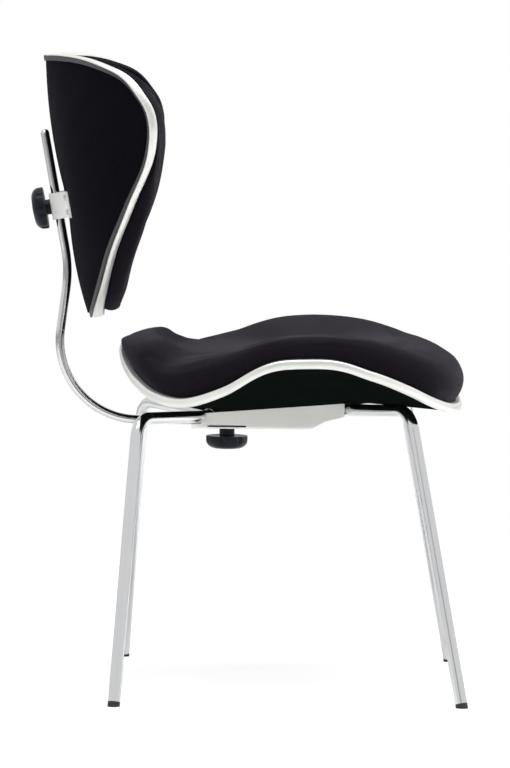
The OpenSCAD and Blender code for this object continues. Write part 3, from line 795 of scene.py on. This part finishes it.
@dataclass
class UpholsteredForm(ABC):
    """A shell with an edge band, a bead and a cushion. Sizes in millimetres.

    Attributes:
        label: first word of the pieces' names.
        body: moving body that the form rides on.
        plan: outline of the form.
        land: outline of the flat place that the shell is mounted by.
        rim_shares: height of the rim, every 15 degrees from the front or top.
        crest_shares: height of the cushion's crest, likewise.
        roll_shares: distance from the edge in to the crest, likewise.
        level_shares: how far out the hollow stays level, likewise.
        roll: the distance that the roll shares are of.
        hollow: place along the form, and height, of the cushion's hollow.
        curve: power by which the shell rises from the land to its edge.
        boss: how far the land stands out from the shell round it.
        shell_t: thickness of the shell.
        band_depth: depth of the band, from its face inwards.
        band_h: height of the band.
        band_corner: radius of the band's corners.
        band_crown: how far the band's face bows out.
        bead_w: width of the bead.
        bead_h: height of the bead over the band.
        snug: gap between pieces that lie on each other.
        face_share: how far out on the cover the crest lies, 0 to 1.
        flank_under: angle that the flank turns in by under its widest place.
        flank_puff: least rise of the flank.
        flank_inset: distance from the edge in to the flank's widest place.
        columns: points round the edge.
        cover_count: points along a side of the cover's grid.
        sim: how the cover is filled out.
    """

    label: str
    body: str
    plan: Plan
    land: Plan
    rim_shares: Sequence[float]
    crest_shares: Sequence[float]
    roll_shares: Sequence[float]
    level_shares: Sequence[float]
    roll: float
    hollow: tuple[float, float]
    curve: float
    boss: float = 0.0
    shell_t: float = 8.0
    band_depth: float = 7.0
    band_h: float = 11.4
    band_corner: float = 2.4
    band_crown: float = 0.35
    bead_w: float = 1.4
    bead_h: float = 1.0
    snug: float = 0.1
    face_share: float = 0.78
    flank_under: float = 35.0
    flank_puff: float = 1.5
    flank_inset: float = 0.5
    columns: int = 360
    cover_count: int = 108
    sim: Simulation = field(default_factory=Simulation)

    @abstractmethod
    def rim(self, turn: Array) -> Array:
        """Height of the band's middle line at each angle."""

    @abstractmethod
    def crest(self, turn: Array) -> Array:
        """Height of the cushion's crest at each angle."""

    @abstractmethod
    def tuck(self, turn: Array) -> Array:
        """How far the cushion's widest place is drawn in, at angles -180 to 180."""

    @abstractmethod
    def land_height(self, along: Array, across: Array) -> Array:
        """Height of the face that the shell is mounted by."""

    @abstractmethod
    def to_chair(self, points: Array) -> Array:
        """Points drawn lying down, in millimetres, put in the chair in metres."""

    def turns(self) -> Array:
        """Angles of the columns, in degrees."""
        return np.arange(self.columns) * 360.0 / self.columns

    def roll_at(self, turn: Array) -> Array:
        """Distance from the edge in to the crest."""
        return self.roll * smooth_share(self.roll_shares, turn)

    @property
    def edge_lift(self) -> float:
        """Height of the cushion's lower edge above the band's middle line."""
        return self.band_h / 2 + self.bead_h + 2 * self.snug

    @property
    def cushion_inset(self) -> float:
        """Inset of the cushion's lower edge, beside the bead."""
        return self.band_depth + self.bead_w + 3 * self.snug

    def welt(self, turn: Array) -> tuple[Array, Array]:
        """How far a dark welt takes over the band's rear edge, and runs behind it."""
        return turn * 0.0, turn * 0.0

    def belly(self, turn: Array, share: Array) -> Array:
        """How much fuller the shell's underside is than its plain curve."""
        return turn * share * 0.0

    def shell_point(self, turn: Array, share: Array, face: float, lift: float = 0.0) -> Array:
        """Points of the shell's underside or top.

        Along a line from the land's edge to the shell's edge, the height goes
        from the land to the edge as the share to a power.

        Args:
            turn: angles in degrees.
            share: way from the land, 0, to the edge, 1.
            face: 0 for the underside, 1 for the top.
            lift: added height.

        Returns:
            Array of points, lying down, in millimetres.
        """
        px, py = self.land.edge(turn)
        ex, ey = self.plan.edge(turn, self.band_depth)
        low = self.land_height(px, py) + self.boss * np.where((share > 0) | (face > 0), 1.0, 0.0)
        high = self.rim(turn) - self.shell_t / 2
        z = low + (high - low) * share**self.curve + face * self.shell_t + lift
        z = z - (1 - face) * self.belly(turn, share)
        return np.stack([px + (ex - px) * share, py + (ey - py) * share, z], -1)

    def shell_middle(self, turn: Array, share: Array, face: float, lift: float = 0.0) -> Array:
        """Points inside the land, on straight lines from its middle to its edge.

        Args:
            turn: angles in degrees.
            share: way from the land's middle, 0, to its edge, 1.
            face: 0 for the underside, 1 for the top.
            lift: added height.

        Returns:
            Array of points, lying down, in millimetres.
        """
        px, py = self.land.edge(turn)
        x = self.land.wide + (px - self.land.wide) * share
        y = py * share
        z = self.land_height(x, y) + face * (self.shell_t + self.boss) + lift
        return np.stack([x, y, z], -1)

    def make_shell(self) -> bpy.types.Object:
        """The shell: land, boss wall, underside, rim and top, as one closed skin.

        Outside the land, the rows lie at first + (1 - first) * share^crowding,
        after one on its edge, so that the boss gets a steep wall.

        Returns:
            The shell.
        """
        first, crowding = 0.07, 1.1
        inner = np.linspace(0.0, 1.0, 7)
        outer = np.concatenate([[0.0], first + (1 - first) * np.linspace(0.0, 1.0, 30) ** crowding])
        turn_in, share_in = np.broadcast_arrays(self.turns(), inner[:, None])
        turn_out, share_out = np.broadcast_arrays(self.turns(), outer[:, None])
        points = self.to_chair(np.concatenate([
            self.shell_middle(turn_in, share_in, 0)[:-1],
            self.shell_point(turn_out, share_out, 0),
            self.shell_point(turn_out, share_out, 1)[::-1],
            self.shell_middle(turn_in, share_in, 1)[::-1][1:],
        ]))
        skin = Patch(points, close_cols=True, uv=unrolled(points, False, True))
        return make_piece(f"{self.label}_shell_skin", [skin], sharp=35.0)

    def ring(self, name: str, section: Section) -> bpy.types.Object:
        """Carries a section round the edge, as a closed loop.

        Args:
            name: the piece's name.
            section: inset and height over the band's middle line, each one
                number or one value for each angle.

        Returns:
            The piece.
        """
        turn = self.turns()
        rows = [
            np.stack([*self.plan.edge(turn, inset), self.rim(turn) + height], -1)
            for inset, height in section
        ]
        points = self.to_chair(np.stack(rows))
        skin = Patch(points, close_rows=True, close_cols=True, uv=unrolled(points, True, True))
        return make_piece(name, [skin], sharp=50.0)

    def make_band(self) -> bpy.types.Object:
        """The band: a crowned face with well rounded corners and a square back.

        The corners are quarter circles, and the face bows out by
        crown * (1 - (2 * share - 1)^2).

        Returns:
            The band.
        """
        half, r, back = self.band_h / 2, self.band_corner, self.band_depth - self.snug
        taken = self.welt(self.turns())[0]
        corner = arc(90, 7)
        low = [(r * (1 - math.sin(a)), r * (1 - math.cos(a)) - half + taken) for a in corner]
        high = [(r * (1 - math.sin(a)), half - r * (1 - math.cos(a))) for a in corner[::-1]]
        face = [
            (-self.band_crown * (1 - (2 * t - 1) ** 2), (1 - t) * (r - half + taken) + t * (half - r))
            for t in np.linspace(0, 1, 7)[1:-1]
        ]
        section = [(back, taken - half), *low, *face, *high, (back, half)]
        return self.ring(f"{self.label}_edge_band", section)

    def make_bead(self) -> bpy.types.Object:
        """The bead: a round nose on a straight root, between band and cushion.

        Returns:
            The bead.
        """
        near, low = self.band_depth, self.shell_t / 2 + 2 * self.snug
        r, high = self.bead_w / 2, self.band_h / 2 + self.bead_h
        nose = [(near + r - r * math.cos(a), high - r + r * math.sin(a)) for a in arc(180, 9)]
        return self.ring(f"{self.label}_bead", [(near + 2 * r, low), (near, low), *nose])

    def cover_point(self, turn: Array, out: Array, shrink: float) -> Array:
        """Points of the cushion's upper face.

        Inside the face share, the height goes from the hollow to the crest as
        a smooth step that starts where the hollow ends. Outside it, the flank
        is an arc from 90 degrees on the crest, over its widest place at 0 to
        its lower edge under it: inset = wide + (roll - wide) * (1 - cos), and
        height = middle + rise * sin. Where the crest is below that edge, the
        difference is taken off again with the square of the sine.

        Args:
            turn: angles in degrees.
            out: distance from the middle, 0 to 1.
            shrink: drop of the inner face, in millimetres.

        Returns:
            Array of points, lying down, in millimetres.
        """
        roll = self.roll_at(turn)
        crest = self.crest(turn) - shrink
        hollow = self.hollow[1] - shrink
        q = np.minimum(out / self.face_share, 1.0)
        cx, cy = self.plan.edge(turn, roll)
        level = smooth_share(self.level_shares, turn)
        z = hollow + (crest - hollow) * eased((q - level) / (1 - level))
        under = math.radians(self.flank_under)
        fall = np.clip((1 - out) / (1 - self.face_share), 0, 1) * (math.pi / 2 + under) - under
        low = self.rim(turn) + self.edge_lift
        rise = np.maximum(crest - low, self.flank_puff)
        plain = (self.cushion_inset - roll * (1 - math.cos(under))) / math.cos(under)
        wide = np.maximum(self.flank_inset + self.tuck(turn), plain)
        middle = low + rise * math.sin(under) / (1 + math.sin(under))
        below = (self.cushion_inset - wide) * (1 - np.cos(fall)) / (1 - math.cos(under))
        above = (roll - wide) * (1 - np.cos(fall))
        fx, fy = self.plan.edge(turn, wide + np.where(fall < 0, below, above))
        drop = (low + rise - crest) * np.maximum(np.sin(fall), 0) ** 2
        fz = middle + (low + rise - middle) * np.sin(fall) - drop
        flank = out > self.face_share
        x, y = self.hollow[0] + (cx - self.hollow[0]) * q, cy * q
        return np.stack([np.where(flank, fx, x), np.where(flank, fy, y), np.where(flank, fz, z)], -1)

    def make_cover(self) -> bpy.types.Object:
        """The cushion: a crowned cover over a seat that follows the shell.

        The underside lies over the land inside the split, and outside it runs
        out to nearly the shell's edge, where it meets the upper face.

        Returns:
            The cushion.
        """
        split, last, edge = 0.25, 0.986, 0.9999
        turn, out = disc_grid(self.cover_count)
        top = self.cover_point(turn, out, self.sim.shrink / MM)
        lift = 2 * self.snug
        share = np.clip((out - split) / (1 - split), 0, 1) * last
        inner = self.shell_middle(turn, np.minimum(out / split, 1.0), 1, lift)
        outer = self.shell_point(turn, np.maximum(share, TINY), 1, lift)
        under = np.where((out <= split)[..., None], inner, outer)
        under[out > edge] = top[out > edge]
        uv = self.cloth_map(top)
        firm = 1 - np.clip((self.sim.held_from - out) / self.sim.fade, 0, 1)
        patches = [
            Patch(self.to_chair(top), uv=uv, hold=firm),
            Patch(self.to_chair(under), turn=Face.AGAINST, uv=uv, hold=np.ones(out.shape)),
        ]
        piece = make_piece(f"{self.label}_cushion_cover", patches, sharp=60.0)
        self.fill(piece)
        return piece

    def cloth_map(self, top: Array) -> Array:
        """Coordinates of the flat cloth: distance run from the middle line, both ways.

        Args:
            top: grid of points of the upper face, in millimetres.

        Returns:
            Array with one row and one column more than the grid, in metres.
        """
        mid = top.shape[0] // 2
        u = run_lengths(top, 0, False)[:-1]
        v = run_lengths(top, 1, False)[:, :-1]
        flat = np.stack([u - u[mid], v - v[:, mid : mid + 1]], -1) * MM
        return np.pad(flat, ((0, 1), (0, 1), (0, 0)), mode="edge")

    def fill(self, piece: bpy.types.Object) -> None:
        """Fills out a cover by pressure, caps its travel, and smooths it once.

        Args:
            piece: the closed cover, which is changed in place.
        """
        mesh = piece.data
        rest = vertex_places(mesh)
        moved = self.settle(piece)
        step = moved - rest
        length = np.linalg.norm(step, axis=1, keepdims=True)
        step *= np.minimum(1.0, self.sim.cap / np.maximum(length, TINY))
        mesh.vertices.foreach_set("co", (rest + step).astype(np.float32).ravel())
        mesh.update()
        log.info("%s filled: moved up to %.2f mm before the cap", piece.name, float(length.max()) / MM)
        finer = piece.modifiers.new("finer", "SUBSURF")
        finer.levels = finer.render_levels = 1

    def settle(self, piece: bpy.types.Object) -> Array:
        """Runs the cover as cloth under pressure, pinned where it is held.

        Args:
            piece: the cover, with its hold attribute.

        Returns:
            Its points after.
        """
        firm = np.empty(len(piece.data.vertices), dtype=np.float32)
        piece.data.attributes["hold"].data.foreach_get("value", firm)
        firm = np.round(firm, 1)
        held = piece.vertex_groups.new(name="held")
        for weight in np.unique(firm):
            held.add(np.nonzero(firm == weight)[0].tolist(), float(weight), "REPLACE")
        cloth = piece.modifiers.new("cloth", "CLOTH")
        cloth.settings.use_pressure = True
        cloth.settings.uniform_pressure_force = self.sim.pressure
        cloth.settings.vertex_group_mass = "held"
        cloth.settings.quality = self.sim.quality
        cloth.settings.tension_stiffness = self.sim.tension
        cloth.settings.bending_stiffness = self.sim.bending
        cloth.settings.effector_weights.gravity = 0
        cloth.point_cache.frame_start, cloth.point_cache.frame_end = 1, self.sim.frames
        scene = bpy.context.scene
        for number in range(1, self.sim.frames + 1):
            scene.frame_set(number)
        moved = vertex_places(piece.evaluated_get(bpy.context.evaluated_depsgraph_get()).data)
        piece.modifiers.remove(cloth)
        piece.vertex_groups.clear()
        scene.frame_set(1)
        log.info("%s: %d of %d points free", piece.name, int((firm < 0.5).sum()), len(firm))
        return moved

    def build(
        self, cloth: bpy.types.Material, skin: bpy.types.Material,
        band: bpy.types.Material, bead: bpy.types.Material,
    ) -> None:
        """Makes, dresses and places the form's pieces.

        Args:
            cloth: finish of the cushion.
            skin: finish of the shell.
            band: finish of the edge band.
            bead: finish of the bead and the welt.
        """
        pieces = (
            (self.make_shell(), "shell", skin), (self.make_band(), "trim", band),
            (self.make_bead(), "gasket", bead), (self.make_cover(), "cushion", cloth),
        )
        for piece, node, finish in pieces:
            piece.data.materials.append(finish)
            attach(piece, self.body)
            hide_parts(f"{self.label}_{node}")
            log.info("%s stands for %s_%s", piece.name, self.label, node)
        self.add_welt(bead)

    def add_welt(self, finish: bpy.types.Material) -> None:
        """Adds what dresses the band's rear edge; the plain form has nothing there."""
        log.info("%s has no welt", self.label)


@dataclass
class Seat(UpholsteredForm):
    """The saddle seat on its shell. Heights are over the floor.

    Attributes:
        rim_z: height of the rim at a share of 0.
        wave: its fall at a share of 1.
        crest_z: height of the crest at a share of 0.
        crest_fall: its fall at a share of 1.
        deck_z: height of the mounting plane where the chair's middle is.
        tilt: slope of the mounting plane, in degrees.
        rear_tuck: how far the cushion is drawn in over the rear.
    """

    rim_z: float = 419.0
    wave: float = 61.0
    crest_z: float = 451.0
    crest_fall: float = 30.0
    deck_z: float = 345.5
    tilt: float = 4.5
    rear_tuck: Swell = Swell(11.0, 115, 45)

    def rim(self, turn: Array) -> Array:
        """Highest at the sides, dipping to the front and before the rear."""
        return self.rim_z - self.wave * smooth_share(self.rim_shares, turn)

    def crest(self, turn: Array) -> Array:
        """Crest of the cushion over the sides, lowest in the saddle's dips."""
        return self.crest_z - self.crest_fall * smooth_share(self.crest_shares, turn)

    def tuck(self, turn: Array) -> Array:
        """Drawn in over the rear's left half only; the right half keeps its edge."""
        return self.rear_tuck.at(turn)

    def land_height(self, along: Array, across: Array) -> Array:
        """The mounting plane, which slopes nose up."""
        return self.deck_z + self.snug + along * math.tan(math.radians(self.tilt))

    def to_chair(self, points: Array) -> Array:
        """The seat is drawn where it is."""
        return points * MM


@dataclass
class Backrest(UpholsteredForm):
    """The wrapped backrest on its shell. Heights are forward from its clamp.

    Attributes:
        edge_n: height of the rim at a share of 0.
        wrap: how much further forward it is at a share of 1.
        crest_n: height of the crest at a share of 1.
        crest_fall: how much lower it is at a share of 0.
        land_n: height of the land's middle line.
        slope: angle of the land's two halves, in degrees.
        lean: how far the backrest leans back, in degrees.
        clamp: place of the height clamp on the bar, along the chair and up.
        corner_tuck: how far the cushion is drawn in at an upper corner.
        corner_end: share of that which is left towards the side.
        spine: how much fuller the upper half of the underside is.
        tip: how much fuller the underside is at the bottom tip.
        welt_taken: parts of how far the welt takes over the band's rear edge:
            downwards, upwards, and at the bottom tip, where the band widens.
        welt_wide: parts of the welt's width, likewise.
        welt_least: its width where it has none of those parts.
        welt_root: inset of the welt's nose where it starts and ends.
        welt_bulge: how much less that is on its crown.
    """

    edge_n: float = 21.0
    wrap: float = 118.0
    crest_n: float = 147.0
    crest_fall: float = 101.0
    land_n: float = 11.0
    slope: float = 7.0
    lean: float = 10.5
    clamp: tuple[float, float] = (-239.517, 597.18)
    corner_tuck: Swell = Swell(7.5, 0, 25)
    corner_end: Swell = Swell(1.0, 92, -35)
    spine: Swell = Swell(3.2, 75, -60)
    tip: Swell = Swell(10.5, 128, 50)
    welt_taken: Sequence[Swell] = (Swell(2.2, 70, 65), Swell(2.3, 55, -45), Swell(-6.2, 138, 42))
    welt_wide: Sequence[Swell] = (Swell(3.4, 70, 65), Swell(1.6, 55, -45), Swell(-1.3, 138, 42))
    welt_least: float = 0.7
    welt_root: float = 2.2
    welt_bulge: float = 1.9

    def rim(self, turn: Array) -> Array:
        """Deepest forward at the wings, back at the top and bottom edges."""
        return self.edge_n + self.wrap * smooth_share(self.rim_shares, turn)

    def crest(self, turn: Array) -> Array:
        """Crest of the cushion, following the wings forward."""
        return self.crest_n - self.crest_fall * (1 - smooth_share(self.crest_shares, turn))

    def tuck(self, turn: Array) -> Array:
        """Drawn in over the upper right corner only; the left one keeps its edge."""
        return self.corner_tuck.at(turn) * self.corner_end.at(turn)

    def land_height(self, along: Array, across: Array) -> Array:
        """A shallow V that the sleeve's flanges lie on."""
        return self.land_n + np.abs(across) * math.tan(math.radians(self.slope))

    def welt(self, turn: Array) -> tuple[Array, Array]:
        """The welt grows from the wings to the bottom and to the top.

        Towards the very bottom the band gets wider instead, so that its rear
        edge goes back.

        Args:
            turn: angles in degrees.

        Returns:
            How far the welt takes over the band's rear edge, and its width.
        """
        side = folded(turn)
        taken = sum(part.at(side) for part in self.welt_taken)
        wide = sum((part.at(side) for part in self.welt_wide), self.welt_least)
        return taken, wide

    def belly(self, turn: Array, share: Array) -> Array:
        """A fuller spine.

        An arch, 1 - (2 * share - 1)^2, over the upper half, and a smooth step
        towards the bottom tip that grows with the share.

        Args:
            turn: angles in degrees.
            share: way from the land, 0, to the edge, 1.

        Returns:
            How much fuller the underside is.
        """
        side = folded(turn)
        return self.spine.at(side) * (1 - (2 * share - 1) ** 2) + self.tip.at(side) * share

    def add_welt(self, finish: bpy.types.Material) -> None:
        """A rounded dark welt behind the band, wider towards the bottom.

        Args:
            finish: finish of the welt.
        """
        taken, wide = self.welt(self.turns())
        high = taken - self.band_h / 2 - self.snug
        nose = [
            (self.welt_root - self.welt_bulge * math.sin(a), high - wide / 2 + wide / 2 * math.cos(a))
            for a in arc(180, 13)
        ]
        back = self.band_depth - self.snug
        piece = self.ring(f"{self.label}_welt", [(back, high - wide), *nose[::-1], (back, high)])
        piece.data.materials.append(finish)
        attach(piece, self.body)
        log.info("%s added behind %s_edge_band", piece.name, self.label)

    def to_chair(self, points: Array) -> Array:
        """Stands the form up: its plan runs up the bar, and its height forward.

        Args:
            points: points lying down, in millimetres.

        Returns:
            The points in the chair, in metres.
        """
        c, s = math.cos(math.radians(self.lean)), math.sin(math.radians(self.lean))
        up, side, out = points[..., 0], -points[..., 1], points[..., 2]
        x, z = self.clamp[0] + out * c - up * s, self.clamp[1] + out * s + up * c
        return np.stack([x, side, z], -1) * MM


# Other pieces


@dataclass(frozen=True)
class Workshop:
    """Finishes of the CAD solids that are shown as they are.

    Attributes:
        chrome: the legs and the bar.
        sheet: the bracket and its deck.
        sleeve: the backrest's sleeve.
        hardware: screws, nuts and studs.
        brass: the pads on the studs' tips.
        plastic: the knobs.
        foot: the glides.
        guide: the bar's guide and the sleeve's liner.
    """

    chrome: bpy.types.Material
    sheet: bpy.types.Material
    sleeve: bpy.types.Material
    hardware: bpy.types.Material
    brass: bpy.types.Material
    plastic: bpy.types.Material
    foot: bpy.types.Material
    guide: bpy.types.Material

    def dress(self, nodes: Mapping[str, bpy.types.Object]) -> None:
        """Gives each solid its finish.

        Args:
            nodes: the chair's solids by name.
        """
        groups: Mapping[bpy.types.Material, Sequence[str]] = {
            self.chrome: ("rear_leg_left", "rear_leg_right", "front_leg_left", "front_leg_right", "back_bar"),
            self.sheet: ("seat_bracket", "bracket_deck"),
            self.sleeve: ("back_sleeve",),
            self.hardware: (
                "deck_screws", "sleeve_screws", "seat_clamp_nut", "back_clamp_nut",
                "seat_knob_stud", "back_knob_stud",
            ),
            self.brass: ("seat_clamp_pad", "back_clamp_pad"),
            self.plastic: ("seat_knob", "back_knob"),
            self.foot: ("glide_rear_left", "glide_rear_right", "glide_front_left", "glide_front_right"),
            self.guide: ("bar_guide", "sleeve_liner"),
        }
        for finish, names in groups.items():
            for name in names:
                node = nodes[name]
                node.data.materials.clear()
                node.data.materials.append(finish)
                log.info("%s finished as %s", name, finish.name)


# Studio


@dataclass(frozen=True)
class Lamp:
    """A square lamp.

    Attributes:
        name: the lamp's name.
        place: where it is, in metres.
        turn: its rotation about each axis, in degrees.
        size: its side, in metres.
        power: its power, in watts.
        mirrored: whether glossy surfaces show it.
    """

    name: str
    place: tuple[float, float, float]
    turn: tuple[float, float, float]
    size: float
    power: float
    mirrored: bool = False

    def make(self) -> None:
        """Puts the lamp in the scene."""
        lamp = bpy.data.lights.new(self.name, "AREA")
        lamp.energy, lamp.size = self.power, self.size
        made = bpy.data.objects.new(self.name, lamp)
        made.location = self.place
        made.rotation_euler = tuple(math.radians(a) for a in self.turn)
        made.visible_glossy = self.mirrored
        bpy.context.scene.collection.objects.link(made)


@dataclass(frozen=True)
class Studio:
    """Floor, lights and camera of the picture.

    Attributes:
        camera_at: place of the camera, in metres.
        pitch: how far it looks up, in degrees.
        roll: how far it is turned about its line of sight, in degrees.
        lens: focal length, in millimetres.
        sensor: height of the sensor, in millimetres.
        sight: farthest that the camera sees, in metres.
        floor_half: half of the floor's side, in metres.
        floor_tone: how much light the floor reflects.
        floor_lift: light that it gives off to the camera.
        floor_white: share of pure white in what the camera sees of it.
        floor_fade: distances from the chair over which it fades to white.
        dark_zone: how far a direction points behind the camera, -1 at most,
            where the world starts to go from dark to full, and where it ends.
        dark_share: strength of the world in the dark zone.
        fill_share: strength of the world's light on what isn't glossy.
        lamps: a large soft lamp overhead, and weak ones at the sides and front.
    """

    camera_at: tuple[float, float, float] = (0.0095, -7.0, 0.9065)
    pitch: float = -4.335
    roll: float = 0.627
    lens: float = 262.5
    sensor: float = 36.0
    sight: float = 200.0
    floor_half: float = 60.0
    floor_tone: float = 0.93
    floor_lift: float = 0.3
    floor_white: float = 0.55
    floor_fade: tuple[float, float] = (0.7, 2.2)
    dark_zone: tuple[float, float] = (-0.99, -0.90)
    dark_share: float = 0.10
    fill_share: float = 0.42
    lamps: Sequence[Lamp] = (
        Lamp("overhead", (0.3, -0.6, 3.6), (10, 5, 0), 3.0, 95.0, mirrored=True),
        Lamp("left_side", (-2.6, -2.2, 1.6), (78, 0, -50), 1.6, 34.0),
        Lamp("right_side", (2.8, -1.8, 1.5), (80, 0, 57), 1.6, 26.0),
        Lamp("front_high", (2.6, 0.3, 2.0), (0, 58, 6), 1.2, 45.0),
    )

    def build(self) -> None:
        """Makes the studio in order."""
        self.make_floor()
        self.make_world()
        for lamp in self.lamps:
            lamp.make()
        self.make_camera()

    def make_floor(self) -> None:
        """A wide plain floor, white to the camera, that keeps the shadow."""
        mesh = bpy.data.meshes.new("floor")
        corners = [(-1, -1, 0), (1, -1, 0), (1, 1, 0), (-1, 1, 0)]
        mesh.from_pydata((np.array(corners) * self.floor_half).tolist(), [], [(0, 1, 2, 3)])
        floor = bpy.data.objects.new("floor", mesh)
        bpy.context.scene.collection.objects.link(floor)
        material = bpy.data.materials.new("white_floor")
        paint = Paint(material)
        plain = paint.node("ShaderNodeBsdfDiffuse", {}, {"Color": (*(self.floor_tone,) * 3, 1.0)})
        lift = paint.node("ShaderNodeEmission", {}, {"Color": WHITE, "Strength": self.floor_lift})
        white = paint.node("ShaderNodeEmission", {}, {"Color": WHITE, "Strength": 1.0})
        lit = paint.node("ShaderNodeAddShader", {}, {0: plain, 1: lift})
        both = paint.node("ShaderNodeMixShader", {}, {0: self.floor_white, 1: lit, 2: white})
        reach = paint.node("ShaderNodeVectorMath", {"operation": "LENGTH"}, {0: paint.place()}, "Value")
        share = reach.step(*self.floor_fade)
        faded = paint.node("ShaderNodeMixShader", {}, {0: share, 1: both, 2: white})
        paint.finish(paint.seen("Is Camera Ray", faded, plain))
        mesh.materials.append(material)

    def make_world(self) -> None:
        """Even light with a darker zone behind the camera; white where it is seen."""
        world = bpy.data.worlds.new("studio")
        bpy.context.scene.world = world
        paint = Paint(world)
        ahead = paint.part(paint.node("ShaderNodeTexCoord", {}, {}, "Generated"), "Y")
        zone = ahead.step(*self.dark_zone).ranged(self.dark_share, 1.0)
        fill = paint.ray("Is Glossy Ray").ranged(self.fill_share, 1.0)
        even = paint.node("ShaderNodeBackground", {}, {"Strength": zone * fill})
        white = paint.node("ShaderNodeBackground", {}, {"Color": WHITE})
        paint.finish(paint.seen("Is Camera Ray", white, even))

    def make_camera(self) -> None:
        """A long lens a little above the seat, looking square at the side."""
        data = bpy.data.cameras.new("camera")
        data.sensor_fit, data.sensor_height, data.lens = "VERTICAL", self.sensor, self.lens
        data.clip_end = self.sight
        camera = bpy.data.objects.new("camera", data)
        bpy.context.scene.collection.objects.link(camera)
        camera.matrix_world = (
            Matrix.Translation(self.camera_at)
            @ Matrix.Rotation(math.radians(90 + self.pitch), 4, "X")
            @ Matrix.Rotation(math.radians(self.roll), 4, "Z")
        )
        bpy.context.scene.camera = camera
        bpy.context.scene.view_settings.view_transform = "Standard"


def make_workshop() -> Workshop:
    """Makes the finishes of the solids that are shown as they are."""
    return Workshop(
        chrome=Plated("tube_chrome").make(),
        sheet=SatinSheet("bracket_satin").make(),
        sleeve=SatinSheet("sleeve_satin", (0.98, 0.985, 0.97), metallic=0.15).make(),
        hardware=TurnedMetal("zinc_hardware").make(),
        brass=TurnedMetal("brass_pad", (0.66, 0.5, 0.22), rough=0.35).make(),
        plastic=Moulded("knob_black", (0.003, 0.0045, 0.009), rough=0.3, gloss=0.2).make(),
        foot=Moulded("glide_black", (0.012, 0.012, 0.012), rough=0.6).make(),
        guide=Moulded("guide_grey", (0.05, 0.05, 0.052), rough=0.5).make(),
    )


def make_seat() -> Seat:
    """The seat's outline and heights."""
    return Seat(
        label="seat", body="frame",
        plan=Plan(ahead=207, behind=220, half=229, wide=60, ahead_power=3.4, behind_power=3.0),
        land=Plan(ahead=79.5, behind=79.5, half=37, wide=38.5, ahead_power=6, behind_power=6),
        rim_shares=(1, 1, 0.955, 0.8, 0.54, 0.26, 0.03, 0.59, 0.852, 0.77, 0.5, 0.19, -0.01),
        crest_shares=(0.56, 0.53, 0.47, 0.4, 0.28, 0.1, 0.04, 0.68, 0.97, 1.08, 0.47, 0.36, 0.35),
        roll_shares=(1, 1, 0.95, 0.83, 0.6, 0.45, 0.38, 0.42, 0.5, 0.58, 0.62, 0.66, 0.66),
        level_shares=(0, 0, 0, 0, 0, 0, 0, 0.2, 0.5, 0.7, 0.78, 0.8, 0.8),
        roll=60.0, hollow=(60.0, 422.0), curve=1.3, boss=4.0, flank_inset=-2.5,
    )


def make_backrest() -> Backrest:
    """The backrest's outline and heights."""
    return Backrest(
        label="back", body="backrest",
        plan=Plan(ahead=102, behind=232, half=204, wide=86, ahead_power=2.85, behind_power=1.6),
        land=Plan(ahead=21.5, behind=21.5, half=48, wide=0, ahead_power=6, behind_power=6),
        rim_shares=(0, 0.155, 0.375, 0.585, 0.79, 0.915, 1, 0.905, 0.615, 0.345, 0.178, 0.08, 0.06),
        crest_shares=(-0.04, 0.04, 0.19, 0.39, 0.61, 0.84, 1, 0.95, 0.81, 0.58, 0.37, 0.26, 0.2),
        roll_shares=(0.85, 0.85, 0.9, 0.95, 1, 1, 1, 1, 1, 1, 0.95, 0.9, 0.9),
        level_shares=(0,) * 13,
        roll=30.0, hollow=(30.0, 56.0), curve=2.1,
    )


def main() -> None:
    """Builds the chair's looks in order and reports each piece."""
    logging.basicConfig(level=logging.INFO, format="%(message)s")
    cloth = WovenCloth("cushion_cloth").make()
    shell_cloth = WovenCloth("shell_cloth", (0.0016, 0.0016, 0.003), (0.005, 0.005, 0.0085), 0.04).make()
    matt_black = (0.002, 0.0036, 0.0028)
    undershell = Moulded("undershell_black", matt_black, rough=0.42, gloss=0.0, grain_scale=700.0).make()
    band = BrushedBand("edge_band_satin").make()
    bead = Moulded("bead_dark", (0.03, 0.031, 0.034), rough=0.45).make()
    make_workshop().dress(frame["nodes"])
    make_seat().build(cloth, undershell, band, bead)
    make_backrest().build(cloth, shell_cloth, band, bead)
    Studio().build()


if __name__ == "__main__":
    main()
